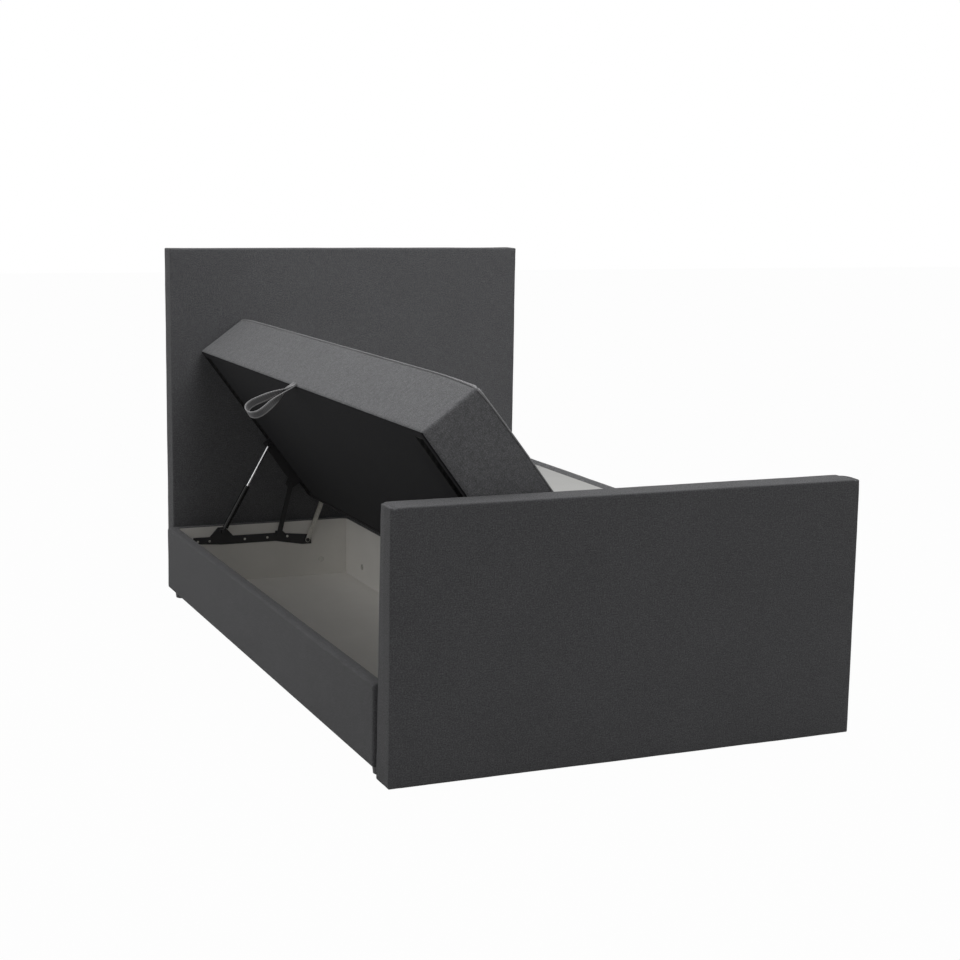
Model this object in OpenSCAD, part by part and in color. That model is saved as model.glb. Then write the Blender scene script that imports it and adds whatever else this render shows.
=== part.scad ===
// Upholstered bed with two storage boxes side by side. Each box has a sprung lid that tilts up
// on a pair of steel arms, helped by gas springs. Millimetres, Z up, +Y towards the headboard.
// The left lid stands open, and the right lid is closed.

/* [Storage boxes] */
// Width over both storage boxes
bed_w = 1272; // [1150:2:1900]
// Length of the storage boxes
bed_l = 2000; // [1850:10:2300]
// Height of a box, without its feet
box_h = 204; // [200:2:300]
// Height of the feet
foot_h = 27; // [15:1:60]
// Diameter of a foot
foot_d = 54; // [35:1:60]
// Distance from a foot's centre to the outside of the box
foot_inset = 42; // [36:1:120]
// Height of a foot's straight rim
foot_rim = 4; // [2:1:8]
// How much narrower a foot is at the floor, on each side
foot_taper = 3; // [0:1:6]
// Thickness of the white boards
panel_t = 18; // [14:1:25]
// Thickness of the bottom board
floor_t = 12; // [6:1:18]
// Thickness of the padding outside the boards
pad_t = 11; // [8:1:16]
// Thickness of the cloth
cloth_t = 2; // [1.5:0.5:3]
// Radius of a box's padded edges
box_edge_r = 6; // [4:0.5:6]
// Gap between the two boxes
box_gap = 0.6; // [0.4:0.2:4]

/* [Lids] */
// Height of a lid
lid_h = 182; // [176:2:240]
// Height of the timber frame in a lid
lid_frame_h = 120; // [112:1:130]
// Space between the two closed lids
lid_gap = 8; // [6:1:16]
// Space between a lid and each end of its box
lid_end_gap = 5; // [4:1:8]
// How far a lid stands back from the side of its box
lid_side_gap = 1; // [0:1:4]
// Space between a closed lid and the rim it rests on
seat_gap = 0.3; // [0.2:0.1:1]
// Foam outside the lid's frame
lid_foam_t = 8; // [8:0.5:10]
// Radius of a lid's padded edges
lid_edge_r = 10; // [6:1:10]
// Thickness of the long rails and the cross rails
lid_rail_t = 16; // [14:1:22]
// Width of the cloth border round the white top
border_w = 29; // [20:1:60]
// Width of the cloth turned in under the lid
hem_w = 22; // [16:1:30]
// Length of the bay at each end that houses the fittings
bay_l = 50; // [44:1:80]
// Number of slats under the springs
slat_n = 9; // [5:1:12]
// Width of a slat
slat_w = 70; // [40:5:90]
// Thickness of a slat
slat_t = 12; // [8:1:18]
// Pocket springs across the lid
pockets_x = 9; // [6:1:12]
// Pocket springs along the lid
pockets_y = 28; // [20:1:34]
// Space round the spring unit
spring_gap = 0.3; // [0.2:0.1:2]

/* [Lid motion] */
// Angle between the open and the closed lid
open_angle = 53.5; // [40:0.5:56]
// Height, above the floor, of the point about which the whole opening turn happens
turn_z = 408; // [404:1:412]
// Distance of the carrying arm's lid pivot from the middle of the bed
carry_lid_x = 12; // [12:1:18]
// Height of the carrying arm's lid pivot with the lid closed
carry_lid_z = 309; // [304:1:316]
// Height of the carrying arm's box pivot
carry_box_z = 165; // [158:1:174]
// Distance of the guiding arm's lid pivot from the middle of the bed, lid closed
guide_lid_x = 90; // [84:1:94]
// Height of the guiding arm's lid pivot with the lid closed
guide_lid_z = 200; // [198:1:204]
// Height of the guiding arm's box pivot
guide_box_z = 190; // [186:1:192]
// Distance of the gas spring's lid pivot from the middle of the bed, lid closed
spring_lid_x = 252; // [246:1:258]
// Height of the gas spring's lid pivot with the lid closed
spring_lid_z = 221; // [219:1:222]
// Distance of the gas spring's box pivot from the middle of the bed
spring_box_x = 460; // [450:1:470]
// Height of the gas spring's box pivot
spring_box_z = 214; // [210:1:216]

/* [Fittings] */
// Thickness of the steel plates
plate_t = 3; // [2:0.5:4]
// Thickness of the steel arms
arm_t = 4; // [3:0.5:5]
// Width of the arms
arm_w = 16; // [14:1:18]
// Radius of the pivot studs
stud_r = 4; // [3:0.5:4.5]
// Radial clearance of an arm on its stud
run_gap = 0.06; // [0.03:0.01:0.1]
// Space between sliding faces
face_gap = 0.5; // [0.3:0.1:0.8]
// Space between a lid's end rails and the end walls of its box
lid_wall_gap = 2; // [1.5:0.5:3]
// Length of the box plate beyond the gas spring's pivot
plate_tail = 96; // [80:2:100]
// Height of the box plate's shelf
shelf_h = 28; // [26:1:30]
// Half the width of a plate's lug at a pivot
lug_w = 12; // [11:0.5:13]
// Metal above or below a pivot in a lug
lug_rim = 11; // [10:0.5:12]
// Half the width of the lug at the carrying arm's box pivot
foot_lug_w = 16; // [14:1:17]
// Run of the slope from the shelf up to a lug
lug_ramp = 28; // [20:1:34]
// Distance between two screws of a plate
screw_pitch = 40; // [36:1:42]
// Distance from a plate's end to its first screw
screw_in = 15; // [12:1:18]
// Radius of a stud's head
stud_head_r = 6.5; // [5.5:0.5:7]
// Thickness of a stud's head
stud_head_t = 1.5; // [1:0.5:2]
// Radius of a gas spring's body
cylinder_r = 9; // [8:0.5:11]
// Length of a gas spring's body
cylinder_l = 172; // [160:1:180]
// Radius of a gas spring's rod
rod_r = 4; // [3:0.5:5]
// Radius of the eyes at a gas spring's ends
eye_r = 7.5; // [7:0.5:8]
// Width of the eyes at a gas spring's ends
eye_w = 9; // [7:1:12]
// Radius of the screw heads
screw_r = 4; // [3:0.5:4.5]
// Length of the screws
screw_l = 12; // [8:1:12]

/* [Pull straps] */
// Width of the webbing
strap_w = 28; // [18:1:32]
// Thickness of the webbing
strap_t = 2.4; // [1.6:0.2:3]
// Length of the loop
strap_l = 150; // [110:5:160]
// Length sewn to the side of the lid
strap_tab = 22; // [16:1:40]
// Half the opening of the loop on the open lid
strap_open = 22; // [14:1:24]
// Half the opening of the loop on the closed lid
strap_flat = 10; // [5:0.5:14]
// Place of the straps along the lids, from the middle
strap_y = -26; // [-60:1:60]
// Twist of the loop on the open lid
strap_twist = 65; // [0:5:70]
// How far the loop on the open lid leans outwards for each millimetre of its length
strap_lean = 0.28; // [0.26:0.01:0.3]
// How far the loop on the closed lid leans outwards for each millimetre of its length
strap_hang = 0.13; // [0:0.01:0.2]

/* [Headboard] */
// Width of the headboard
headboard_w = 1228; // [1100:2:1900]
// Height of the headboard's top above the floor
headboard_top = 1146; // [900:2:1300]
// Height of the headboard's lower edge above the floor
headboard_bottom = 27; // [0:1:60]
// Thickness of the headboard
headboard_t = 75; // [60:0.5:100]
// Radius of the headboard's edges
headboard_r = 20; // [19:1:24]
// Foam on the face of the headboard
headboard_foam = 16; // [10:1:22]
// Foam on the sides of the headboard
headboard_side_foam = 10; // [8:1:14]
// Wadding on the back of the headboard
headboard_wadding = 6; // [6:1:10]

/* [Footboard] */
// Width of the footboard
footboard_w = 1254; // [1120:2:1900]
// Height of the footboard's top above the floor
footboard_top = 659; // [450:1:800]
// Thickness of the footboard
footboard_t = 87.5; // [70:0.5:110]
// Radius of the footboard's edges
footboard_r = 20; // [10:1:26]
// Foam on the faces and sides of the footboard
footboard_foam = 12; // [8:1:16]
// Height of the glides under the footboard
glide_h = 3; // [2:0.5:6]
// Radius of the glides
glide_r = 12; // [8:1:16]
// Number of glides under the footboard
glide_n = 4; // [2:1:6]

/* [Joinery] */
// Width of the timbers inside the headboard and footboard
timber_w = 70; // [50:1:90]
// Thickness of the thin boards on the timbers
skin_t = 4; // [3:1:6]
// Radius of the bolts
bolt_r = 4; // [3:0.5:5]
// Radius of the bolt heads
bolt_head_r = 9; // [7:0.5:11]
// Thickness of the bolt heads
bolt_head_t = 3; // [2:0.5:5]
// Clearance round a bolt
bolt_gap = 0.25; // [0.1:0.05:0.4]
// How far a bolt reaches into the timber
bolt_reach = 34; // [20:1:40]
// Height of the bolts above the floor
bolt_z = 92; // [80:1:100]
// Distance of the inner bolts from the middle of the bed
bolt_in_x = 110; // [80:5:140]
// Distance of the outer bolts from the middle of the bed
bolt_out_x = 480; // [400:5:490]
// Distance between the bolts that join the two boxes
joiner_pitch = 800; // [500:10:850]
// Gap between the boxes and each of the boards at their ends
joint_gap = 0.3; // [0.2:0.1:1]
// Space between the timbers and the foam round them
foam_gap = 0.1; // [0.05:0.05:0.2]

/* [Hidden] */

$fn = 32;
EPS = 0.01;
FAR = 4000;

// Colours
WHITE = [0.86, 0.86, 0.85];
GREY_CLOTH = [0.22, 0.22, 0.23];
BLACK_CLOTH = [0.07, 0.07, 0.08];
WOOD = [0.78, 0.64, 0.45];
FOAM = [0.93, 0.9, 0.78];
STEEL = [0.72, 0.73, 0.75];
BLACK_STEEL = [0.06, 0.06, 0.07];
WEBBING = [0.42, 0.43, 0.45];
BLACK_PLASTIC = [0.05, 0.05, 0.05];

// Places along and across the bed
half_w = bed_w / 2;
half_l = bed_l / 2;
box_top = foot_h + box_h;
wall_t = panel_t + pad_t;
box_in_x = box_gap / 2 + cloth_t;
total_l = bed_l + headboard_t + footboard_t + 2 * joint_gap;
box_y = (footboard_t - headboard_t) / 2;
head_y = total_l / 2;

// Places in the closed lid
lid_out_x = half_w - lid_side_gap;
lid_in_x = lid_gap / 2;
lid_half_l = half_l - lid_end_gap;
lid_z = box_top + seat_gap;
lid_top_z = lid_z + lid_h;
skin_lid = cloth_t + lid_foam_t;
frame_z = lid_z + cloth_t;
frame_top_z = frame_z + lid_frame_h;
plate_y = half_l - wall_t;
rail_y = plate_y - lid_wall_gap;
bay_y = plate_y - bay_l;
cross_y = bay_y - lid_rail_t;

// Layers of the fittings, as distances from the middle of the box
lid_plate_y = rail_y - plate_t;
guide_y = lid_plate_y - face_gap - arm_t;
carry_y = guide_y - face_gap - arm_t;
slack = 0.3;
spring_y = carry_y - 3 * slack - cylinder_r;
slot_y = carry_y - slack - stud_head_t - arm_t / 2;
slot_top = carry_lid_z + arm_w;
rod_bore_x = 2 * eye_r + 1.5 * cylinder_r;
slot_w = hem_w + lid_foam_t;

// A point in the plane of motion is [x, z]; a turn by a lifts the side at minus x
function turn(p, a) = [p.x * cos(a) + p.y * sin(a), p.y * cos(a) - p.x * sin(a)];
function opened(p, a) = pole + turn(p - pole, a);
function box_pivot(closed, z) =
  let (mid = (closed + opened(closed, open_angle)) / 2, away = mid - pole)
  pole + away * (z - pole.y) / away.y;
function heading(from, to) = atan2(to.y - from.y, to.x - from.x);
function reach(from, to) = norm(to - from);

pole = [0, turn_z];
carry_lid = [-carry_lid_x, carry_lid_z];
guide_lid = [-guide_lid_x, guide_lid_z];
spring_lid = [-spring_lid_x, spring_lid_z];
carry_box = box_pivot(carry_lid, carry_box_z);
guide_box = box_pivot(guide_lid, guide_box_z);
spring_box = [-spring_box_x, spring_box_z];
strap_z = lid_z + lid_edge_r + 2;
strap_fold = (strap_t + face_gap / 2) / 2;

// Solids between two corners, plain or with rounded edges
module block(lo, hi) {
  translate(lo) cube(hi - lo);
}

module soft_block(lo, hi, r) {
  xs = [lo.x + r, hi.x - r];
  ys = [lo.y + r, hi.y - r];
  zs = [lo.z + r, hi.z - r];
  block([xs[0], ys[0], lo.z], [xs[1], ys[1], hi.z]);
  block([xs[0], lo.y, zs[0]], [xs[1], hi.y, zs[1]]);
  block([lo.x, ys[0], zs[0]], [hi.x, ys[1], zs[1]]);
  for (x = xs, y = ys) translate([x, y, zs[0]]) cylinder(h = zs[1] - zs[0], r = r);
  for (x = xs, z = zs)
    translate([x, ys[0], z]) rotate([-90, 0, 0]) cylinder(h = ys[1] - ys[0], r = r);
  for (y = ys, z = zs)
    translate([xs[0], y, z]) rotate([0, 90, 0]) cylinder(h = xs[1] - xs[0], r = r);
  for (x = xs, y = ys, z = zs) translate([x, y, z]) sphere(r);
}

// A round bar along Y between two distances from the middle, at both ends of a box
module bar_y(p, r, y0, y1) {
  translate([p.x, y0, p.y]) rotate([-90, 0, 0]) cylinder(h = y1 - y0, r = r);
}

module both_ends() {
  for (end = [0, 1]) mirror([0, end, 0]) children();
}

module in_box() {
  translate([0, box_y, 0]) children();
}

// A lid and all that is fixed to it, turned by a share of the opening angle
module on_lid(share) {
  move = opened([0, 0], open_angle * share);
  in_box() translate([move.x, 0, move.y]) rotate([0, open_angle * share, 0]) children();
}

// ---- storage box, left side ----
module wall_holes(z_axis) {
  for (x = [bolt_in_x, bolt_out_x])
    bar_y([-x, z_axis], bolt_r + bolt_gap, plate_y - 1, half_l + 1);
}

module box_floor() {
  color(WHITE) in_box()
    block([-half_w + pad_t, -half_l + pad_t, foot_h], [-box_in_x, half_l - pad_t, foot_h + floor_t]);
}

module wall(lo, hi) {
  block([lo.x, lo.y, foot_h + floor_t], [hi.x, hi.y, box_top - cloth_t]);
}

module box_side() {
  color(WHITE) in_box() wall([-half_w + pad_t, -plate_y], [-half_w + wall_t, plate_y]);
}

module box_inner_wall() {
  color(WHITE) in_box() difference() {
    wall([-box_in_x - panel_t, -plate_y], [-box_in_x, plate_y]);
    joiner_holes();
  }
}

module box_end_wall() {
  difference() {
    wall([-half_w + pad_t, plate_y], [-box_in_x, half_l - pad_t]);
    wall_holes(bolt_z);
    plate_screw_holes();
  }
}

module box_head_wall() {
  color(WHITE) in_box() box_end_wall();
}

module box_foot_wall() {
  color(WHITE) in_box() mirror([0, 1, 0]) box_end_wall();
}

module box_cover() {
  color(GREY_CLOTH) in_box() difference() {
    soft_block([-half_w, -half_l, foot_h - box_edge_r], [-box_gap / 2, half_l, box_top],
      box_edge_r);
    block([-half_w - 1, -half_l - 1, 0], [0, half_l + 1, foot_h]);
    block([-half_w + pad_t, -half_l + pad_t, 0], [-box_in_x, half_l - pad_t, box_top - cloth_t]);
    block([-half_w + wall_t, -plate_y, 0], [-box_in_x - panel_t, plate_y, FAR]);
    both_ends() wall_holes(bolt_z);
    joiner_holes();
  }
}

module box_feet() {
  color(BLACK_PLASTIC) in_box()
    both_ends()
      for (x = [-half_w + foot_inset, -box_in_x - foot_inset])
        translate([x, half_l - foot_inset, 0]) {
          cylinder(h = foot_h - foot_rim, r1 = foot_d / 2 - foot_taper, r2 = foot_d / 2);
          translate([0, 0, foot_h - foot_rim]) cylinder(h = foot_rim, r = foot_d / 2);
        }
}

// ---- bolts ----
module joiner_holes() {
  for (y = [-1, 0, 1])
    translate([-box_in_x - panel_t - 1, y * joiner_pitch, bolt_z])
      rotate([0, 90, 0]) cylinder(h = panel_t + cloth_t + 2, r = bolt_r + bolt_gap);
}

module box_joiners() {
  color(STEEL) in_box()
    for (y = [-1, 0, 1]) translate([0, y * joiner_pitch, bolt_z]) rotate([0, 90, 0]) {
      translate([0, 0, -box_in_x - panel_t])
        cylinder(h = 2 * (box_in_x + panel_t), r = bolt_r);
      for (side = [0, 1]) mirror([0, 0, side])
        translate([0, 0, box_in_x + panel_t]) cylinder(h = bolt_head_t, r = bolt_head_r);
    }
}

module board_bolts() {
  timber_head = half_l + joint_gap + cloth_t + headboard_foam + skin_t;
  timber_foot = half_l + joint_gap + cloth_t + footboard_foam + skin_t;
  color(STEEL) in_box() for (side = [0, 1]) mirror([side, 0, 0])
    for (x = [bolt_in_x, bolt_out_x], end = [0, 1]) mirror([0, end, 0]) {
      bar_y([-x, bolt_z], bolt_r, plate_y, (end == 0 ? timber_head : timber_foot) + bolt_reach);
      bar_y([-x, bolt_z], bolt_head_r, plate_y - bolt_head_t, plate_y);
    }
}

// Holes for the bolts through one of the boards at the ends, in that board's own thickness
module board_holes(from_y, to_y) {
  for (side = [0, 1]) mirror([side, 0, 0])
    for (x = [bolt_in_x, bolt_out_x])
      bar_y([-x, bolt_z], bolt_r + bolt_gap, from_y, to_y);
}

// ---- lid, left side, in its closed place ----
module arm_slots() {
  both_ends()
    block([-lid_in_x - slot_w, slot_y, lid_z - 1], [-lid_in_x + 1, plate_y, slot_top]);
}

module lid_frame() {
  out_x = lid_out_x - skin_lid;
  in_x = lid_in_x + skin_lid;
  end_y = lid_half_l - skin_lid;
  difference() {
    block([-out_x, -end_y, frame_z], [-in_x, end_y, frame_top_z]);
    block([-out_x + lid_rail_t, -cross_y, 0], [-in_x - lid_rail_t, cross_y, FAR]);
    both_ends()
      block([-out_x + lid_rail_t, bay_y, 0], [-in_x - lid_rail_t, rail_y, FAR]);
    both_ends()
      block([-in_x - lid_rail_t - 1, slot_y, 0], [1, rail_y, slot_top]);
    lid_screw_holes();
  }
}

module lid_slats() {
  span = 2 * cross_y - slat_w;
  for (i = [0 : slat_n - 1]) {
    y = -span / 2 + span * i / (slat_n - 1);
    block([-lid_out_x + skin_lid + lid_rail_t, y - slat_w / 2, frame_z],
      [-lid_in_x - skin_lid - lid_rail_t, y + slat_w / 2, frame_z + slat_t]);
  }
}

module lid_springs() {
  x0 = -lid_out_x + skin_lid + lid_rail_t + spring_gap;
  x1 = -lid_in_x - skin_lid - lid_rail_t - spring_gap;
  half_y = cross_y - spring_gap;
  rx = (x1 - x0) / pockets_x / 2;
  ry = half_y / pockets_y;
  r = min(rx, ry);
  translate([0, 0, frame_z + slat_t]) linear_extrude(lid_frame_h - slat_t - spring_gap) {
    translate([x0 + r, -half_y + r]) square([x1 - x0 - 2 * r, 2 * (half_y - r)]);
    for (i = [0 : pockets_y - 1], x = [x0 + r, x1 - r])
      translate([x, -half_y + r + 2 * (half_y - r) * i / (pockets_y - 1)]) circle(r);
    for (i = [0 : pockets_x - 1], y = [-half_y + r, half_y - r])
      translate([x0 + r + (x1 - x0 - 2 * r) * i / (pockets_x - 1), y]) circle(r);
  }
}

module lid_foam() {
  c = cloth_t;
  difference() {
    soft_block([-lid_out_x + c, -lid_half_l + c, lid_z + c], [-lid_in_x - c, lid_half_l - c, lid_top_z - c],
      lid_edge_r - c);
    block([-lid_out_x + skin_lid, -lid_half_l + skin_lid, 0],
      [-lid_in_x - skin_lid, lid_half_l - skin_lid, frame_top_z]);
    arm_slots();
  }
}

module lid_cover() {
  c = cloth_t;
  difference() {
    soft_block([-lid_out_x, -lid_half_l, lid_z], [-lid_in_x, lid_half_l, lid_top_z], lid_edge_r);
    soft_block([-lid_out_x + c, -lid_half_l + c, lid_z + c], [-lid_in_x - c, lid_half_l - c, lid_top_z - c],
      lid_edge_r - c);
    block([-lid_out_x + border_w, -lid_half_l + border_w, lid_z + lid_h / 2],
      [-lid_in_x - border_w, lid_half_l - border_w, FAR]);
    block([-lid_out_x + hem_w, -rail_y, 0], [-lid_in_x - hem_w, rail_y, lid_z + lid_h / 2]);
    arm_slots();
  }
}

module lid_top() {
  block([-lid_out_x + border_w, -lid_half_l + border_w, lid_top_z - cloth_t],
    [-lid_in_x - border_w, lid_half_l - border_w, lid_top_z]);
}

module lid_underside() {
  block([-lid_out_x + hem_w, -bay_y, lid_z], [-lid_in_x - hem_w, bay_y, lid_z + cloth_t]);
}

// ---- fittings, left side ----
lid_plate_low = lid_z - 2 * lug_w;
lid_plate_top = frame_z + 4 * lug_w;
lid_shoulder = lid_plate_top - foot_lug_w;
carry_rim = 7;
shelf_z = guide_box_z - 2 * lug_w;
shelf_top = shelf_z + shelf_h;
tail_x = spring_box.x - plate_tail;

// Places of the screws, as [x, z]
function lid_screws() =
  let (z = frame_z + 2 * lug_rim)
  [[spring_lid.x + screw_pitch + screw_in, z], [guide_lid.x - screw_pitch, z],
    [carry_lid.x - screw_pitch, z + lug_w]];
function box_screws() =
  [for (x = [tail_x + screw_in, tail_x + screw_in + screw_pitch, spring_box.x + 2 * screw_pitch,
    guide_box.x - screw_pitch, guide_box.x + 2 * screw_in]) [x, shelf_z + shelf_h / 2]];

module lid_screw_holes() {
  both_ends()
    for (p = lid_screws()) bar_y(p, screw_r / 2 + run_gap, rail_y - 1, rail_y + screw_l);
}

module plate_screw_holes() {
  for (p = box_screws()) bar_y(p, screw_r / 2 + run_gap, plate_y - 1, plate_y + screw_l);
}

module screws(points, y, depth) {
  for (p = points) {
    bar_y(p, screw_r, y - depth, y);
    bar_y(p, screw_r / 2, y, y + screw_l);
  }
}

module lid_screw_set() {
  both_ends() screws(lid_screws(), rail_y, plate_t);
}

module box_screw_set() {
  both_ends() screws(box_screws(), plate_y, plate_t);
}

module upright_plate(points, y) {
  translate([0, y + plate_t, 0]) rotate([90, 0, 0]) linear_extrude(plate_t) polygon(points);
}

// Stud from a plate at y0, with a shoulder behind the arm that turns on it, from y1 to y2
module stud(p, y0, y1, y2) {
  bar_y(p, stud_r, y1 - slack, y0);
  bar_y(p, stud_head_r, y1 - slack - stud_head_t, y1 - slack);
  if (y0 - y2 > 2 * slack) bar_y(p, stud_head_r, y2 + slack, y0);
}

// Plate on the end rail of the lid, with the stud that the carrying arm turns on
module lid_plates() {
  both_ends() {
    difference() {
      upright_plate([
        [spring_lid.x - lug_w, lid_shoulder], [spring_lid.x - lug_w, spring_lid.y - lug_rim],
        [spring_lid.x + lug_w, spring_lid.y - lug_rim], [guide_lid.x - 2 * lug_w, lid_plate_low],
        [guide_lid.x - lug_w, guide_lid.y - lug_w], [guide_lid.x + lug_w, guide_lid.y - lug_w],
        [guide_lid.x + foot_lug_w, lid_z], [carry_lid.x - lug_w, lid_shoulder],
        [carry_lid.x + carry_rim, carry_lid.y - foot_lug_w],
        [carry_lid.x + carry_rim, carry_lid.y + lug_rim],
        [carry_lid.x - lug_w, carry_lid.y + lug_rim],
        [carry_lid.x - screw_pitch, lid_plate_top]
      ], lid_plate_y);
      for (p = lid_screws()) bar_y(p, screw_r + run_gap, lid_plate_y - 1, rail_y + 1);
    }
    stud(carry_lid, lid_plate_y + EPS, carry_y, carry_y + arm_t);
  }
}

// Plate on the end wall of the box, with the studs that the arms and the gas spring turn on
module box_plates() {
  y = plate_y - plate_t;
  both_ends() {
    difference() {
      upright_plate([
        [tail_x, shelf_z + shelf_h / 4], [tail_x, shelf_top],
        [spring_box.x - lug_w - lug_ramp, shelf_top],
        [spring_box.x - lug_w, spring_box.y + lug_rim],
        [spring_box.x + lug_w, spring_box.y + lug_rim],
        [spring_box.x + lug_w + lug_ramp, shelf_top], [guide_box.x - lug_w, shelf_top],
        [guide_box.x - lug_w, guide_box.y + lug_rim],
        [guide_box.x + lug_w, guide_box.y + lug_rim], [guide_box.x + 2 * lug_w, guide_box.y],
        [carry_box.x + foot_lug_w, carry_box.y + foot_lug_w],
        [carry_box.x + foot_lug_w, carry_box.y - foot_lug_w],
        [carry_box.x - foot_lug_w, carry_box.y - foot_lug_w],
        [guide_box.x - lug_w, shelf_z], [spring_box.x, shelf_z]
      ], y);
      for (p = box_screws()) bar_y(p, screw_r + run_gap, y - 1, plate_y + 1);
    }
    stud(carry_box, y + EPS, carry_y, carry_y + arm_t);
    stud(guide_box, y + EPS, guide_y, guide_y + arm_t);
    stud(spring_box, y + EPS, spring_y - eye_w / 2, spring_y + eye_w / 2);
  }
}

// Flat arm from the origin along +X, with round ends; hole_b opens its far end too
module arm(length, hole_b) {
  difference() {
    union() {
      translate([0, 0, -arm_w / 2]) cube([length, arm_t, arm_w]);
      for (x = [0, length]) bar_y([x, 0], arm_w / 2, 0, arm_t);
    }
    bar_y([0, 0], stud_r + run_gap, -1, arm_t + 1);
    if (hole_b) bar_y([length, 0], stud_r + run_gap, -1, arm_t + 1);
  }
}

module carrying_arms(share) {
  angle = heading(carry_box, opened(carry_lid, open_angle * share));
  in_box() both_ends()
    translate([carry_box.x, carry_y, carry_box.y]) rotate([0, -angle, 0])
      arm(reach(carry_box, carry_lid), true);
}

// The guiding arm's far end faces the lid's plate across a small gap
module guiding_arms(share) {
  length = reach(guide_box, guide_lid);
  angle = heading(guide_box, opened(guide_lid, open_angle * share));
  in_box() both_ends()
    translate([guide_box.x, guide_y, guide_box.y]) rotate([0, -angle, 0]) arm(length, false);
}

module gas_cylinders(share) {
  angle = heading(spring_box, opened(spring_lid, open_angle * share));
  in_box() both_ends()
    translate([spring_box.x, spring_y, spring_box.y]) rotate([0, -angle, 0])
      difference() {
        union() {
          bar_y([0, 0], eye_r, -eye_w / 2, eye_w / 2);
          rotate([0, 90, 0]) cylinder(h = 2 * eye_r + EPS, r = rod_r);
          translate([2 * eye_r, 0, 0]) rotate([0, 90, 0])
            cylinder(h = cylinder_l - 2 * eye_r, r = cylinder_r);
        }
        bar_y([0, 0], stud_r + run_gap, -cylinder_r, cylinder_r);
        translate([rod_bore_x, 0, 0]) rotate([0, 90, 0])
          cylinder(h = cylinder_l, r = rod_r + run_gap);
      }
}

// The rod's pin faces the lid's plate across a small gap
module gas_rods(share) {
  tip = opened(spring_lid, open_angle * share);
  length = reach(spring_box, tip);
  shortest = reach(spring_box, spring_lid);
  start = rod_bore_x + 2 + length - shortest;
  in_box() both_ends()
    translate([spring_box.x, spring_y, spring_box.y]) rotate([0, -heading(spring_box, tip), 0]) {
      translate([start, 0, 0]) rotate([0, 90, 0])
        cylinder(h = length - start, r = rod_r);
      bar_y([length, 0], eye_r, -eye_w / 2, eye_w / 2);
      bar_y([length, 0], stud_r, 0, lid_plate_y - spring_y - face_gap);
    }
}

// ---- pull strap, left side, in its closed place ----
// Greatest value of sin(360 * s) * sin(180 * s), where the loop is widest
loop_peak = 4 / (3 * sqrt(3));

// The webbing's middle line, as [half opening, depth below the tab], for s from 0 to 1
function loop_point(s, open) =
  [open * sin(360 * s) * sin(180 * s) / loop_peak + strap_fold * cos(180 * s),
    strap_l * sin(180 * s)];

// Where that point lies on the lid, moved by t through the webbing and by w across it
function webbing_point(s, open, twist, lean, t, w) =
  let (p = s < 0 ? [loop_point(0, open).x, -strap_tab] :
      s > 1 ? [loop_point(1, open).x, -strap_tab] : loop_point(s, open),
    ahead = loop_point(min(s + 0.01, 1), open) - loop_point(max(s - 0.01, 0), open),
    along = s < 0 ? [0, 1] : s > 1 ? [0, -1] : ahead / norm(ahead),
    u = p.x + t * along.y,
    depth = p.y - t * along.x,
    ease = min(max(depth / (0.6 * strap_l), 0), 1),
    turned = twist * ease * ease * (3 - 2 * ease),
    out = lid_out_x + face_gap / 2 + strap_t / 2 + strap_fold + max(depth, 0) * lean)
  [-out - u * cos(turned) - w * sin(turned), strap_y + u * sin(turned) - w * cos(turned),
    strap_z - depth];

module pull_strap(open, twist, lean) {
  steps = 48;
  stations = concat([-1], [for (i = [0 : steps]) i / steps], [2]);
  last = len(stations) - 1;
  points = [for (s = stations, c = [[-1, -1], [1, -1], [1, 1], [-1, 1]])
    webbing_point(s, open, twist, lean, c.x * strap_t / 2, c.y * strap_w / 2)];
  sides = [for (i = [0 : last - 1], k = [0 : 3])
    let (a = 4 * i + k, b = 4 * i + (k + 1) % 4)
    each [[a, b, a + 4], [b, b + 4, a + 4]]];
  ends = [[0, 3, 2], [0, 2, 1], [4 * last, 4 * last + 1, 4 * last + 2],
    [4 * last, 4 * last + 2, 4 * last + 3]];
  polyhedron(points, concat(sides, ends));
}

// ---- headboard ----
// Timber frame with a window between each rail's top and the next rail's lower edge
module timber_frame(lo, hi, rails) {
  difference() {
    block(lo, hi);
    for (i = [0 : len(rails) - 2])
      block([lo.x + timber_w, lo.y - 1, rails[i][1]], [hi.x - timber_w, hi.y + 1, rails[i + 1][0]]);
  }
}

module headboard_frame() {
  side = headboard_w / 2 - cloth_t - headboard_side_foam;
  low = headboard_bottom + cloth_t + headboard_side_foam;
  high = headboard_top - cloth_t - headboard_side_foam;
  middle = (low + high) / 2;
  front = head_y - headboard_t + cloth_t + headboard_foam + skin_t;
  color(WOOD) difference() {
    timber_frame([-side, front, low], [side, head_y - cloth_t - headboard_wadding, high],
      [[low, bolt_z + timber_w / 2], [middle - timber_w / 2, middle + timber_w / 2],
        [high - timber_w, high]]);
    board_holes(front - 1, front + bolt_reach + 1);
  }
}

module headboard_board() {
  side = headboard_w / 2 - cloth_t - headboard_side_foam;
  front = head_y - headboard_t + cloth_t + headboard_foam;
  color(WOOD) difference() {
    block([-side, front, headboard_bottom + cloth_t + headboard_side_foam],
      [side, front + skin_t, headboard_top - cloth_t - headboard_side_foam]);
    board_holes(front - 1, front + skin_t + 1);
  }
}

module headboard_shape(in) {
  soft_block([-headboard_w / 2 + in, head_y - headboard_t + in, headboard_bottom + in],
    [headboard_w / 2 - in, head_y - in, headboard_top - in], headboard_r - in);
}

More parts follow.
